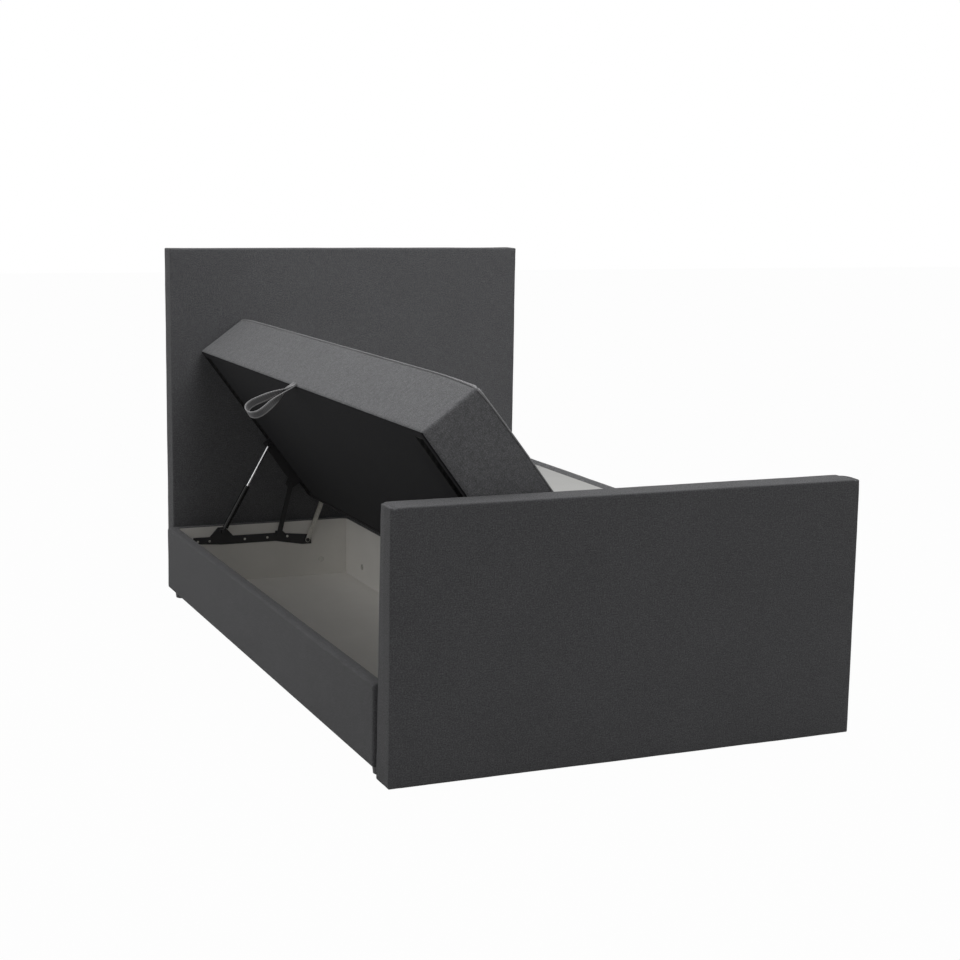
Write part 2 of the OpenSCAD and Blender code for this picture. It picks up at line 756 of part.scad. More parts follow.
module headboard_foam() {
  side = headboard_w / 2 - cloth_t - headboard_side_foam;
  front = head_y - headboard_t + cloth_t + headboard_foam;
  low = headboard_bottom + cloth_t + headboard_side_foam;
  high = headboard_top - cloth_t - headboard_side_foam;
  color(FOAM) difference() {
    headboard_shape(cloth_t);
    block([-side - foam_gap, front - foam_gap, low - foam_gap],
      [side + foam_gap, head_y - cloth_t - headboard_wadding + foam_gap, high + foam_gap]);
    board_holes(head_y - headboard_t - 1, front + 1);
  }
}

module headboard_back_edge(y0, y1) {
  side = headboard_w / 2 - headboard_r - timber_w / 2;
  block([-side, y0, headboard_bottom + headboard_r + timber_w / 2],
    [side, y1, headboard_top - headboard_r - timber_w / 2]);
}

module headboard_cover() {
  color(GREY_CLOTH) difference() {
    headboard_shape(0);
    headboard_shape(cloth_t);
    headboard_back_edge(head_y - headboard_t / 2, FAR);
    board_holes(head_y - headboard_t - 1, head_y - headboard_t / 2);
  }
}

module headboard_back() {
  color(BLACK_CLOTH) headboard_back_edge(head_y - cloth_t, head_y);
}

// ---- footboard ----
foot_skin = cloth_t + footboard_foam;
footboard_z = glide_h;
foot_inner_r = footboard_r - cloth_t;
foot_timber_in = max(foot_inner_r - footboard_foam, 0);
foot_rise = foot_inner_r - sqrt(pow(foot_inner_r, 2) - 2 * pow(foot_timber_in, 2)) + slack;
foot_timber_z = footboard_z + cloth_t + foot_rise;

module footboard_frame() {
  side = footboard_w / 2 - foot_skin;
  front = -head_y + foot_skin + skin_t;
  back = -head_y + footboard_t - foot_skin - skin_t;
  low = foot_timber_z;
  high = footboard_top - foot_skin;
  middle = (low + high) / 2;
  color(WOOD) difference() {
    timber_frame([-side, front, low], [side, back, high],
      [[low, bolt_z + timber_w / 2], [middle - timber_w / 2, middle + timber_w / 2],
        [high - timber_w, high]]);
    board_holes(back - bolt_reach - 1, back + 1);
  }
}

module footboard_boards() {
  side = footboard_w / 2 - foot_skin;
  front = -head_y + foot_skin;
  back = -head_y + footboard_t - foot_skin;
  color(WOOD) {
    block([-side, front, foot_timber_z], [side, front + skin_t, footboard_top - foot_skin]);
    difference() {
      block([-side, back - skin_t, foot_timber_z], [side, back, footboard_top - foot_skin]);
      board_holes(back - skin_t - 1, back + 1);
    }
  }
}

module footboard_shape(in) {
  soft_block([-footboard_w / 2 + in, -head_y + in, footboard_z + in],
    [footboard_w / 2 - in, -head_y + footboard_t - in, footboard_top - in], footboard_r - in);
}

module footboard_foam() {
  side = footboard_w / 2 - foot_skin;
  color(FOAM) difference() {
    footboard_shape(cloth_t);
    block([-side - foam_gap, -head_y + foot_skin - foam_gap, 0],
      [side + foam_gap, -head_y + footboard_t - foot_skin + foam_gap,
        footboard_top - foot_skin + foam_gap]);
    board_holes(-head_y + footboard_t - foot_skin - 1, -head_y + footboard_t + 1);
  }
}

module footboard_cover() {
  color(GREY_CLOTH) difference() {
    footboard_shape(0);
    footboard_shape(cloth_t);
    glide_places() cylinder(h = glide_h + cloth_t + 1, r = glide_r + 1);
    board_holes(-head_y + footboard_t - foot_skin, -head_y + footboard_t + 1);
  }
}

module glide_places() {
  span = footboard_w - 4 * timber_w;
  for (i = [0 : glide_n - 1])
    translate([-span / 2 + span * i / (glide_n - 1), -head_y + footboard_t / 2, 0]) children();
}

module footboard_glides() {
  color(BLACK_PLASTIC) glide_places() cylinder(h = foot_timber_z, r = glide_r);
}

// ---- both sides ----
module right() {
  mirror([1, 0, 0]) children();
}

module box_plate_screws() {
  color(STEEL) in_box() for (side = [0, 1]) mirror([side, 0, 0]) box_screw_set();
}

box_floor();  // left_box_floor
box_side();  // left_box_side
box_inner_wall();  // left_box_inner_wall
box_head_wall();  // left_box_head_wall
box_foot_wall();  // left_box_foot_wall
box_cover();  // left_box_cover
box_feet();  // left_box_feet
color(WOOD) on_lid(1) lid_frame();  // left_lid_frame
color(WOOD) on_lid(1) lid_slats();  // left_lid_slats
color(WHITE) on_lid(1) lid_springs();  // left_lid_springs
color(FOAM) on_lid(1) lid_foam();  // left_lid_foam
color(GREY_CLOTH) on_lid(1) lid_cover();  // left_lid_cover
color(WHITE) on_lid(1) lid_top();  // left_lid_top
color(BLACK_CLOTH) on_lid(1) lid_underside();  // left_lid_underside
color(BLACK_STEEL) on_lid(1) lid_plates();  // left_lid_plates
color(STEEL) on_lid(1) lid_screw_set();  // left_lid_screws
color(WEBBING) on_lid(1) pull_strap(strap_open, strap_twist, strap_lean);  // left_pull_strap
color(BLACK_STEEL) in_box() box_plates();  // left_box_plates
color(STEEL) carrying_arms(1);  // left_carrying_arms
color(BLACK_STEEL) guiding_arms(1);  // left_guiding_arms
color(BLACK_STEEL) gas_cylinders(1);  // left_gas_cylinders
color(STEEL) gas_rods(1);  // left_gas_rods
right() box_floor();  // right_box_floor
right() box_side();  // right_box_side
right() box_inner_wall();  // right_box_inner_wall
right() box_head_wall();  // right_box_head_wall
right() box_foot_wall();  // right_box_foot_wall
right() box_cover();  // right_box_cover
right() box_feet();  // right_box_feet
color(WOOD) right() on_lid(0) lid_frame();  // right_lid_frame
color(WOOD) right() on_lid(0) lid_slats();  // right_lid_slats
color(WHITE) right() on_lid(0) lid_springs();  // right_lid_springs
color(FOAM) right() on_lid(0) lid_foam();  // right_lid_foam
color(GREY_CLOTH) right() on_lid(0) lid_cover();  // right_lid_cover
color(WHITE) right() on_lid(0) lid_top();  // right_lid_top
color(BLACK_CLOTH) right() on_lid(0) lid_underside();  // right_lid_underside
color(BLACK_STEEL) right() on_lid(0) lid_plates();  // right_lid_plates
color(STEEL) right() on_lid(0) lid_screw_set();  // right_lid_screws
color(WEBBING) right() on_lid(0) pull_strap(strap_flat, 0, strap_hang);  // right_pull_strap
color(BLACK_STEEL) right() in_box() box_plates();  // right_box_plates
color(STEEL) right() carrying_arms(0);  // right_carrying_arms
color(BLACK_STEEL) right() guiding_arms(0);  // right_guiding_arms
color(BLACK_STEEL) right() gas_cylinders(0);  // right_gas_cylinders
color(STEEL) right() gas_rods(0);  // right_gas_rods
box_plate_screws();
box_joiners();
board_bolts();
headboard_frame();
headboard_board();
headboard_foam();
headboard_cover();
headboard_back();
footboard_frame();
footboard_boards();
footboard_foam();
footboard_cover();
footboard_glides();
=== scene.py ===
# %% [markdown]
# # A padded bed with two storage boxes, the left lid standing open
#
# The bed is two shallow boxes side by side between a padded headboard and a padded footboard.
# Each box has a thick sprung lid that tilts on steel arms with gas springs. The rigid parts come
# from the CAD frame, and this lesson dresses them: it paints every board, arm and screw, and
# models the cloth, padding and webbing that CAD only holds as plain solids.

# %% Load the CAD frame
import math

import bpy
from mathutils import Matrix, Vector, noise


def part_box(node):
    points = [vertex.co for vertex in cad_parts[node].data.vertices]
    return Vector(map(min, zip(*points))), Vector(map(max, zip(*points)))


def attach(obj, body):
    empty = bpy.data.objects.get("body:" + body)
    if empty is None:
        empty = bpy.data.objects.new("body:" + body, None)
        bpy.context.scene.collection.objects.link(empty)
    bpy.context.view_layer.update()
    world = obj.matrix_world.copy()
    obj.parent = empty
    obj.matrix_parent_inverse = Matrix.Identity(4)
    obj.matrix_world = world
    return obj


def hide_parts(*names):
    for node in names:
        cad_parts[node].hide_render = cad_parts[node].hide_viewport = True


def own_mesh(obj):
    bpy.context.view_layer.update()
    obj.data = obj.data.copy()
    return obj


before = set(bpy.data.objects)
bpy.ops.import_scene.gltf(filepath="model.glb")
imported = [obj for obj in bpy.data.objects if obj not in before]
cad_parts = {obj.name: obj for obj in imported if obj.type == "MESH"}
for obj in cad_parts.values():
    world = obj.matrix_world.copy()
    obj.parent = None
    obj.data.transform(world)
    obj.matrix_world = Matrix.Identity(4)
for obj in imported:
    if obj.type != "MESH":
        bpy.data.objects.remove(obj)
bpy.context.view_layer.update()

MM = 0.001
SIDES = ("left", "right")

# %% [markdown]
# ## The places that everything is measured from
#
# A lid is easiest to model in its closed place, where its faces are square to the axes. The left
# lid is then turned to where it stands open. The whole opening turn is about one line along the
# bed, so one angle and one height describe it. The closed lid on the right gives all the sizes.

# %% Places of the lids and the boxes
OPEN_ANGLE = math.radians(53.5)
TURN_LINE = Vector((0, 0, 408 * MM))


def corners(node_name):
    """The lowest and the highest corner of a CAD node."""
    return [Vector(corner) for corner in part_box(node_name)]


lid_low, lid_high = corners("right_lid_cover")
box_low, box_high = corners("right_box_cover")
middle_y = (box_low.y + box_high.y) / 2
print("closed lid:", lid_low, lid_high)

# %% [markdown]
# ## Camera
#
# The photograph's camera was worked out from the straight edges of the bed. It stands near the
# foot end, to the left, looks a little down, and leans by less than a degree. A camera matrix is
# three directions and a place, so the three are built from the angles and put side by side.

# %% Camera at the photograph's place
CAMERA_PLACE = Vector((-2029.08, -4822.05, 1400.59)) * MM
CAMERA_HEADING = math.radians(23.39)
CAMERA_PITCH = math.radians(-9.57)
CAMERA_LEAN = math.radians(0.89)
CAMERA_LENS = 67.99

ahead = Vector((
    math.sin(CAMERA_HEADING) * math.cos(CAMERA_PITCH),
    math.cos(CAMERA_HEADING) * math.cos(CAMERA_PITCH),
    math.sin(CAMERA_PITCH),
))
across = Vector((math.cos(CAMERA_HEADING), -math.sin(CAMERA_HEADING), 0))
upward = across.cross(ahead)
leaned_across = math.cos(CAMERA_LEAN) * across + math.sin(CAMERA_LEAN) * upward
leaned_upward = math.cos(CAMERA_LEAN) * upward - math.sin(CAMERA_LEAN) * across

camera_data = bpy.data.cameras.new("camera")
camera_data.lens = CAMERA_LENS
camera_data.sensor_width = 36
camera_data.clip_end = 60
camera = bpy.data.objects.new("camera", camera_data)
bpy.context.scene.collection.objects.link(camera)
turned = Matrix((leaned_across, leaned_upward, -ahead)).transposed()
camera.matrix_world = Matrix.Translation(CAMERA_PLACE) @ turned.to_4x4()
bpy.context.scene.camera = camera
bpy.context.scene.view_settings.view_transform = "Standard"
print("camera", round(CAMERA_LENS, 1), "mm lens at", CAMERA_PLACE)

# %% [markdown]
# ## Node helpers
#
# The sky and every finish below are small networks of nodes. A few helpers keep them readable:
# one adds a node and fills in its fixed sockets, one joins two sockets, and the others are the
# steps that nearly every finish needs, such as a colour ramp or a bump. Numbers that are the same
# all over a surface are typed into the shader's own sockets.

# %% Helpers for nodes
def new_material(name, roughness, **sockets):
    """A material with one Principled shader, and its fixed sockets filled in."""
    material = bpy.data.materials.new(name)
    material.use_nodes = True
    shader = material.node_tree.nodes["Principled BSDF"]
    shader.inputs["Roughness"].default_value = roughness
    for socket, value in sockets.items():
        shader.inputs[socket.replace("_", " ")].default_value = value
    return material


def shader_of(material):
    return material.node_tree.nodes["Principled BSDF"]


def add_node(material, kind, sockets=None, **settings):
    """Adds a node, sets its options, and fills in its sockets by name or number."""
    node = material.node_tree.nodes.new(kind)
    for setting, value in settings.items():
        setattr(node, setting, value)
    for socket, value in (sockets or {}).items():
        node.inputs[socket].default_value = value
    return node


def join(material, source, outlet, target, inlet):
    material.node_tree.links.new(source.outputs[outlet], target.inputs[inlet])


def scaled(material, outlet, scale):
    """Coordinates in metres, from the piece's UV map or its Object place, times scale."""
    if not isinstance(scale, tuple):
        scale = (scale, scale, scale)
    place = add_node(material, "ShaderNodeTexCoord")
    mapping = add_node(material, "ShaderNodeMapping", {"Scale": scale})
    join(material, place, outlet, mapping, "Vector")
    return mapping


def fine_noise(material, outlet, scale, detail, roughness=0.6):
    grain = add_node(material, "ShaderNodeTexNoise", {"Scale": 1.0, "Detail": detail,
                                                      "Roughness": roughness})
    join(material, scaled(material, outlet, scale), "Vector", grain, "Vector")
    return grain


def ramp(material, source, outlet, stops):
    """A colour ramp from (position, colour) stops."""
    node = add_node(material, "ShaderNodeValToRGB")
    elements = node.color_ramp.elements
    while len(elements) < len(stops):
        elements.new(0.5)
    for element, (position, colour) in zip(elements, stops):
        element.position = position
        element.color = (*colour, 1)
    join(material, source, outlet, node, "Fac")
    return node


def mix_colours(material, way, amount, first, second):
    """Mixes two colours, by a fixed amount or by an output, and gives the mixed colour."""
    node = add_node(material, "ShaderNodeMix", data_type="RGBA", blend_type=way)
    if isinstance(amount, float):
        node.inputs[0].default_value = amount
    else:
        material.node_tree.links.new(amount, node.inputs[0])
    material.node_tree.links.new(first, node.inputs[6])
    material.node_tree.links.new(second, node.inputs[7])
    return node.outputs[2]


def calculate(material, way, first, second):
    """One arithmetic step; each side is an output socket or a number."""
    node = add_node(material, "ShaderNodeMath", operation=way)
    for inlet, side in zip(node.inputs, (first, second)):
        if isinstance(side, (int, float)):
            inlet.default_value = side
        else:
            material.node_tree.links.new(side, inlet)
    return node


def emboss(material, height, depth, strength, under=None):
    """Bump from a height output, depth in metres, on top of another bump if one is given."""
    node = add_node(material, "ShaderNodeBump", {"Strength": strength, "Distance": depth})
    material.node_tree.links.new(height, node.inputs["Height"])
    if under is not None:
        join(material, under, "Normal", node, "Normal")
    return node


print("node helpers are ready")

# %% Helpers for colour, relief and roughness
def grey(level):
    return (level, level, level)


def tone_down(material, colour, source, outlet, low, high, darkest):
    """Darkens a colour where a texture is low: by darkest at low, and not at all at high."""
    tone = ramp(material, source, outlet, [(low, darkest), (high, grey(1))])
    return mix_colours(material, "MULTIPLY", 1.0, colour, tone.outputs["Color"])


def paint(material, colour):
    """Gives the shader its colour, from an output socket."""
    material.node_tree.links.new(colour, shader_of(material).inputs["Base Color"])


def paint_by(material, source, outlet, stops):
    """Gives the shader a colour ramp over a texture."""
    paint(material, ramp(material, source, outlet, stops).outputs["Color"])


def relieve(material, height, depth, strength, under=None):
    """Gives the shader its bump, from a height output and a depth in metres."""
    bump = emboss(material, height, depth, strength, under)
    join(material, bump, "Normal", shader_of(material), "Normal")


def vary_roughness(material, source, outlet, low, high):
    spread = add_node(material, "ShaderNodeMapRange", {"To Min": low, "To Max": high})
    join(material, source, outlet, spread, "Value")
    join(material, spread, "Result", shader_of(material), "Roughness")


print("colour and relief helpers are ready")

# %% [markdown]
# ## Light
#
# The photograph is lit from above by one large soft source, so faces that look up are bright and
# the upright ones are much darker. One round lamp over the bed gives that. Two weak ones, over
# the foot end and at the left, open up the shadows, and an even grey sky fills the rest. For
# camera rays the sky is plain white, as the photograph's background is, and the same holds for
# mirror-like rays, so that metal shows it too.

# %% Lamp and sky
BED_MIDDLE = Vector((0, 0, 0.3))
LAMPS = {
    "top_lamp": {"place": Vector((0.5, -0.5, 3.7)), "size": 2.4, "watts": 41},
    "foot_lamp": {"place": Vector((0.1, -1.9, 3.6)), "size": 2.0, "watts": 12},
    "left_lamp": {"place": Vector((-3.2, 0.8, 2.0)), "size": 1.6, "watts": 10},
}
SKY_LIGHT = 0.27


def add_lamp(name, place, size, watts):
    """A round area lamp that looks at the middle of the bed."""
    lamp_data = bpy.data.lights.new(name, "AREA")
    lamp_data.shape = "DISK"
    lamp_data.size = size
    lamp_data.energy = watts
    lamp = bpy.data.objects.new(name, lamp_data)
    lamp.location = place
    lamp.rotation_euler = (BED_MIDDLE - place).to_track_quat("-Z", "Y").to_euler()
    bpy.context.scene.collection.objects.link(lamp)


for lamp_name, lamp_settings in LAMPS.items():
    add_lamp(lamp_name, **lamp_settings)

sky = bpy.data.worlds.new("studio")
bpy.context.scene.world = sky
sky.use_nodes = True
sky.node_tree.nodes.clear()
sky_light = add_node(sky, "ShaderNodeBackground", {"Color": (1.0, 0.99, 0.98, 1),
                                                   "Strength": SKY_LIGHT})
sky_white = add_node(sky, "ShaderNodeBackground", {"Color": (1, 1, 1, 1), "Strength": 1})
rays = add_node(sky, "ShaderNodeLightPath")
camera_or_mirror = calculate(sky, "MAXIMUM", rays.outputs["Is Camera Ray"],
                             rays.outputs["Is Glossy Ray"])
or_through = calculate(sky, "MAXIMUM", camera_or_mirror.outputs[0],
                       rays.outputs["Is Transmission Ray"])
sky_mix = add_node(sky, "ShaderNodeMixShader")
sky_out = add_node(sky, "ShaderNodeOutputWorld")
join(sky, or_through, 0, sky_mix, "Fac")
join(sky, sky_light, 0, sky_mix, 1)
join(sky, sky_white, 0, sky_mix, 2)
join(sky, sky_mix, 0, sky_out, "Surface")
print(len(LAMPS), "lamps and a sky of", SKY_LIGHT)

# %% [markdown]
# ## Grey upholstery cloth
#
# The bed is covered in a mottled, plainly woven grey cloth. A photograph of cloth could be laid
# on it, but a woven pattern can be worked out: two bands at right angles, and a chequer that says
# which thread lies on top. Yarns of three greys are mixed by fine noise, and thick places in
# the yarn run along both directions. The pattern lies on the UV map, so it turns with each face.
# On the lids the cloth is more blotchy, so it gets a stronger mottle. It also gets lighter greys
# than the bed's: the same cloth painted brighter, as painted light on the lids. The depths of
# every finish's relief stand together at the start.

# %% Woven cloth
RELIEF = {
    "weave": 0.5 * MM,
    "slubs": 0.3 * MM,
    "dots": 0.6 * MM,
    "fibres": 0.2 * MM,
    "webbing_ribs": 0.5 * MM,
    "webbing_rows": 0.3 * MM,
    "orange_peel": 0.1 * MM,
    "pores": 0.15 * MM,
    "foam_cells": 0.6 * MM,
    "plastic_grain": 0.1 * MM,
    "scratches": 0.05 * MM,
    "powder_grain": 0.12 * MM,
    "paint_marks": 0.03 * MM,
}
THREAD = 2.4 * MM
WELT_THREAD = 1.2 * MM
BED_GREYS = ((0.105, 0.106, 0.112), (0.168, 0.17, 0.177), (0.262, 0.264, 0.272))
# Lighter greys than the bed's: the same cloth painted brighter, as painted light on the lids.
LID_PAINTED_LIGHT_GREYS = ((0.165, 0.167, 0.175), (0.264, 0.267, 0.277), (0.41, 0.414, 0.426))
# Much lighter than the lid's cloth: a painted highlight along the welt, where the top edge catches
# the light.
WELT_HIGHLIGHT_GREYS = ((0.42, 0.42, 0.43), (0.58, 0.58, 0.59), (0.76, 0.76, 0.77))
BED_MOTTLE = 0.94
LID_MOTTLE = 0.8


def weave_height(material, thread):
    """Height of a plain weave, from 0 between the threads to 1 on top of them."""
    mapping = scaled(material, "UV", 1 / thread)
    wave = {"Scale": 0.5, "Distortion": 1.2, "Detail": 1.0}
    warp = add_node(material, "ShaderNodeTexWave", wave, wave_type="BANDS", bands_direction="X")
    weft = add_node(material, "ShaderNodeTexWave", wave, wave_type="BANDS", bands_direction="Y")
    over = add_node(material, "ShaderNodeTexChecker", {"Scale": 1.0})
    for texture in (warp, weft, over):
        join(material, mapping, "Vector", texture, "Vector")
    return mix_colours(material, "MIX", over.outputs["Fac"], warp.outputs["Color"],
                       weft.outputs["Color"])


def woven_cloth(name, greys, thread, mottle):
    """Cloth of a dark, a middle and a light yarn; mottle is how dark its blotches are."""
    material = new_material(name, 0.9, Sheen_Weight=0.25, Sheen_Roughness=0.45,
                            Specular_IOR_Level=0.2)
    yarn = fine_noise(material, "UV", 300, 2.0, 0.7)
    colour = ramp(material, yarn, "Fac", list(zip((0.3, 0.5, 0.72), greys)))
    slubs_across = fine_noise(material, "UV", (45, 380, 1), 1.0, 0.5)
    slubs_along = fine_noise(material, "UV", (380, 45, 1), 1.0, 0.5)
    slubs = calculate(material, "MAXIMUM", slubs_across.outputs["Fac"],
                      slubs_along.outputs["Fac"])
    toned = tone_down(material, colour.outputs["Color"], slubs, "Value", 0.45, 0.75,
                      (0.8, 0.8, 0.81))
    clouds = fine_noise(material, "Object", 7, 4.0, 0.55)
    clouded = tone_down(material, toned, clouds, "Fac", 0.3, 0.7, grey(0.93))
    blotches = fine_noise(material, "Object", 75, 2.5, 0.6)
    paint(material, tone_down(material, clouded, blotches, "Fac", 0.36, 0.6, grey(mottle)))
    vary_roughness(material, yarn, "Fac", 0.8, 0.98)
    body = emboss(material, slubs.outputs[0], RELIEF["slubs"], 0.5)
    relieve(material, weave_height(material, thread), RELIEF["weave"], 0.8, body)
    return material


grey_cloth = woven_cloth("grey_cloth", BED_GREYS, THREAD, BED_MOTTLE)
lid_cloth = woven_cloth("lid_cloth", LID_PAINTED_LIGHT_GREYS, THREAD, LID_MOTTLE)
welt_cloth = woven_cloth("welt_cloth", WELT_HIGHLIGHT_GREYS, WELT_THREAD, BED_MOTTLE)
print("grey cloth with threads of", round(THREAD / MM, 1), "mm")

# %% [markdown]
# ## The other cloths
#
# The lid's top is a white non-slip cloth with small raised dots, which a Voronoi texture gives:
# its distance to the nearest cell centre is a field of domes. The lining underneath is a thin
# black felted cloth, and the spring pockets are the same in white. Their fibres are noise that is
# stretched one way and laid over itself the other way.

# %% White, black and webbing cloths
def dotted_cloth():
    material = new_material("white_top_cloth", 0.8, Sheen_Weight=0.15,
                            Specular_IOR_Level=0.3)
    dots = add_node(material, "ShaderNodeTexVoronoi", {"Scale": 1.0, "Randomness": 0.1},
                    feature="F1")
    join(material, scaled(material, "UV", 220), "Vector", dots, "Vector")
    tone = ramp(material, dots, "Distance", [(0.15, (0.74, 0.74, 0.73)),
                                             (0.45, (0.66, 0.66, 0.65))])
    soil = fine_noise(material, "Object", 9, 4.0)
    paint(material, tone_down(material, tone.outputs["Color"], soil, "Fac", 0.35, 0.7,
                              (0.95, 0.95, 0.94)))
    vary_roughness(material, dots, "Distance", 0.6, 0.9)
    domes = calculate(material, "SUBTRACT", 1.0, dots.outputs["Distance"])
    relieve(material, domes.outputs[0], RELIEF["dots"], 0.7)
    return material


def felted_cloth(name, dark, light, sheen=0.1):
    material = new_material(name, 0.92, Sheen_Weight=sheen, Specular_IOR_Level=0.1)
    one_way = fine_noise(material, "Object", (60, 700, 420), 2.0)
    other_way = fine_noise(material, "Object", (700, 60, 420), 2.0)
    fibres = calculate(material, "MAXIMUM", one_way.outputs["Fac"], other_way.outputs["Fac"])
    paint_by(material, fibres, "Value", [(0.4, dark), (0.75, light)])
    vary_roughness(material, fibres, "Value", 0.8, 0.98)
    relieve(material, fibres.outputs[0], RELIEF["fibres"], 0.6)
    return material


def webbing_cloth():
    """Webbing lies on the UV map: U runs along it and V across, from 0 to 1."""
    material = new_material("webbing", 0.75, Sheen_Weight=0.2, Specular_IOR_Level=0.3)
    ribs = add_node(material, "ShaderNodeTexWave", {"Scale": 60.0, "Distortion": 0.4},
                    wave_type="BANDS", bands_direction="X")
    rows = add_node(material, "ShaderNodeTexWave", {"Scale": 4.0, "Distortion": 0.3},
                    wave_type="BANDS", bands_direction="Y")
    mapping = scaled(material, "UV", 1)
    join(material, mapping, "Vector", ribs, "Vector")
    join(material, mapping, "Vector", rows, "Vector")
    parts = add_node(material, "ShaderNodeSeparateXYZ")
    join(material, mapping, "Vector", parts, "Vector")
    off_middle = calculate(material, "SUBTRACT", parts.outputs["Y"], 0.5)
    to_edge = calculate(material, "ABSOLUTE", off_middle.outputs[0], 0.0)
    bands = ramp(material, to_edge, "Value", [(0.3, (0.27, 0.27, 0.28)),
                                              (0.36, (0.62, 0.62, 0.63)),
                                              (0.47, (0.62, 0.62, 0.63)),
                                              (0.49, (0.5, 0.5, 0.51))])
    paint(material, tone_down(material, bands.outputs["Color"], ribs, "Fac", 0.2, 0.8,
                              grey(0.72)))
    vary_roughness(material, ribs, "Fac", 0.62, 0.88)
    low = emboss(material, rows.outputs["Fac"], RELIEF["webbing_rows"], 0.5)
    relieve(material, ribs.outputs["Fac"], RELIEF["webbing_ribs"], 0.8, low)
    return material


white_cloth = dotted_cloth()
black_lining = felted_cloth("black_lining", (0.006, 0.006, 0.007), (0.018, 0.018, 0.02), 0.02)
pocket_cloth = felted_cloth("pocket_cloth", (0.62, 0.62, 0.6), (0.8, 0.8, 0.78))
webbing = webbing_cloth()
print("cloths:", white_cloth.name, black_lining.name, pocket_cloth.name, webbing.name)

# %% [markdown]
# ## Boards, timber, foam and plastic
#
# The storage boxes are lined with white faced boards, which are smooth with a faint orange-peel
# texture. The hidden frames are planed softwood, whose grain is a band pattern stretched along
# the timber and bent by noise. The lid frames, which show beside the arms, get an almost black
# copy of the timber.
# Foam has open cells, and the feet are plain moulded plastic.

# %% Boards, timber, foam, plastic
def faced_board():
    material = new_material("white_board", 0.42, Specular_IOR_Level=0.4)
    clouds = fine_noise(material, "Object", 5, 5.0)
    paint_by(material, clouds, "Fac", [(0.3, (0.82, 0.805, 0.77)),
                                       (0.7, (0.88, 0.865, 0.83))])
    peel = fine_noise(material, "Object", 420, 1.0)
    vary_roughness(material, peel, "Fac", 0.34, 0.52)
    relieve(material, peel.outputs["Fac"], RELIEF["orange_peel"], 0.35)
    return material


def planed_timber(name, early, middle, late):
    material = new_material(name, 0.6, Specular_IOR_Level=0.35)
    rings = add_node(material, "ShaderNodeTexWave", {"Scale": 1.0, "Distortion": 5.0,
                                                     "Detail": 3.0},
                     wave_type="BANDS", bands_direction="X")
    join(material, scaled(material, "Object", (22, 3, 22)), "Vector", rings, "Vector")
    paint_by(material, rings, "Fac", [(0.2, early), (0.6, middle), (0.95, late)])
    pores = fine_noise(material, "Object", (500, 40, 500), 2.0)
    vary_roughness(material, pores, "Fac", 0.5, 0.75)
    relieve(material, pores.outputs["Fac"], RELIEF["pores"], 0.5)
    return material


def open_foam():
    material = new_material("foam", 0.95, Specular_IOR_Level=0.15)
    cells = add_node(material, "ShaderNodeTexVoronoi", {"Scale": 1.0}, feature="F1")
    join(material, scaled(material, "Object", 600), "Vector", cells, "Vector")
    paint_by(material, cells, "Distance", [(0.1, (0.62, 0.58, 0.44)),
                                           (0.6, (0.82, 0.78, 0.64))])
    vary_roughness(material, cells, "Distance", 0.85, 1.0)
    relieve(material, cells.outputs["Distance"], RELIEF["foam_cells"], 0.7)
    return material


def moulded_plastic():
    material = new_material("black_plastic", 0.5, Specular_IOR_Level=0.4)
    grain = fine_noise(material, "Object", 900, 2.0)
    scuffs = fine_noise(material, "Object", (45, 45, 9), 5.0)
    paint_by(material, scuffs, "Fac", [(0.45, (0.014, 0.014, 0.015)),
                                       (0.8, (0.04, 0.04, 0.042))])
    vary_roughness(material, scuffs, "Fac", 0.4, 0.65)
    relieve(material, grain.outputs["Fac"], RELIEF["plastic_grain"], 0.5)
    return material


white_board = faced_board()
timber = planed_timber("planed_timber", (0.56, 0.4, 0.23), (0.68, 0.52, 0.33),
                       (0.74, 0.6, 0.41))
# An almost black copy of the timber, for the lid frames.
black_timber = planed_timber("black_timber", (0.01, 0.01, 0.01), (0.018, 0.017, 0.017),
                             (0.03, 0.029, 0.028))
foam = open_foam()
black_plastic = moulded_plastic()
print("boards and fillings:", white_board.name, timber.name, foam.name, black_plastic.name)

# %% [markdown]
# ## Metals
#
# The fittings are zinc plated arms and screws, black powder coated plates, and chromed rods.
# Zinc is cloudy, powder coat has a fine grain that wears through in specks, and chrome is only
# broken by faint rings along the rod. The gas cylinders have a thin gloss paint. All have a full
# metallic shader except the powder coat and the paint.

# %% Metals
def plated_metal(name, dark, light, rough_low, rough_high, spangle):
    material = new_material(name, 0.35, Metallic=1.0)
    clouds = fine_noise(material, "Object", spangle, 4.0)
    paint_by(material, clouds, "Fac", [(0.35, dark), (0.7, light)])
    vary_roughness(material, clouds, "Fac", rough_low, rough_high)
    scratches = fine_noise(material, "Object", (1400, 90, 1400), 2.0)
    relieve(material, scratches.outputs["Fac"], RELIEF["scratches"], 0.4)
    return material


def powder_coat():
    material = new_material("black_steel", 0.45, Specular_IOR_Level=0.5, Coat_Weight=0.15,
                            Coat_Roughness=0.3)
    grain = fine_noise(material, "Object", 1100, 1.0)
    wear = fine_noise(material, "Object", 130, 5.0, 0.7)
    paint_by(material, wear, "Fac", [(0.62, (0.016, 0.016, 0.018)),
                                     (0.78, (0.09, 0.09, 0.092))])
    vary_roughness(material, wear, "Fac", 0.36, 0.6)
    relieve(material, grain.outputs["Fac"], RELIEF["powder_grain"], 0.5)
    return material


def gloss_paint():
    material = new_material("gloss_black", 0.16, Specular_IOR_Level=0.22)
    marks = fine_noise(material, "Object", 60, 4.0)
    paint_by(material, marks, "Fac", [(0.4, (0.004, 0.004, 0.004)),
                                      (0.8, (0.012, 0.012, 0.013))])
    vary_roughness(material, marks, "Fac", 0.1, 0.24)
    relieve(material, marks.outputs["Fac"], RELIEF["paint_marks"], 0.3)
    return material


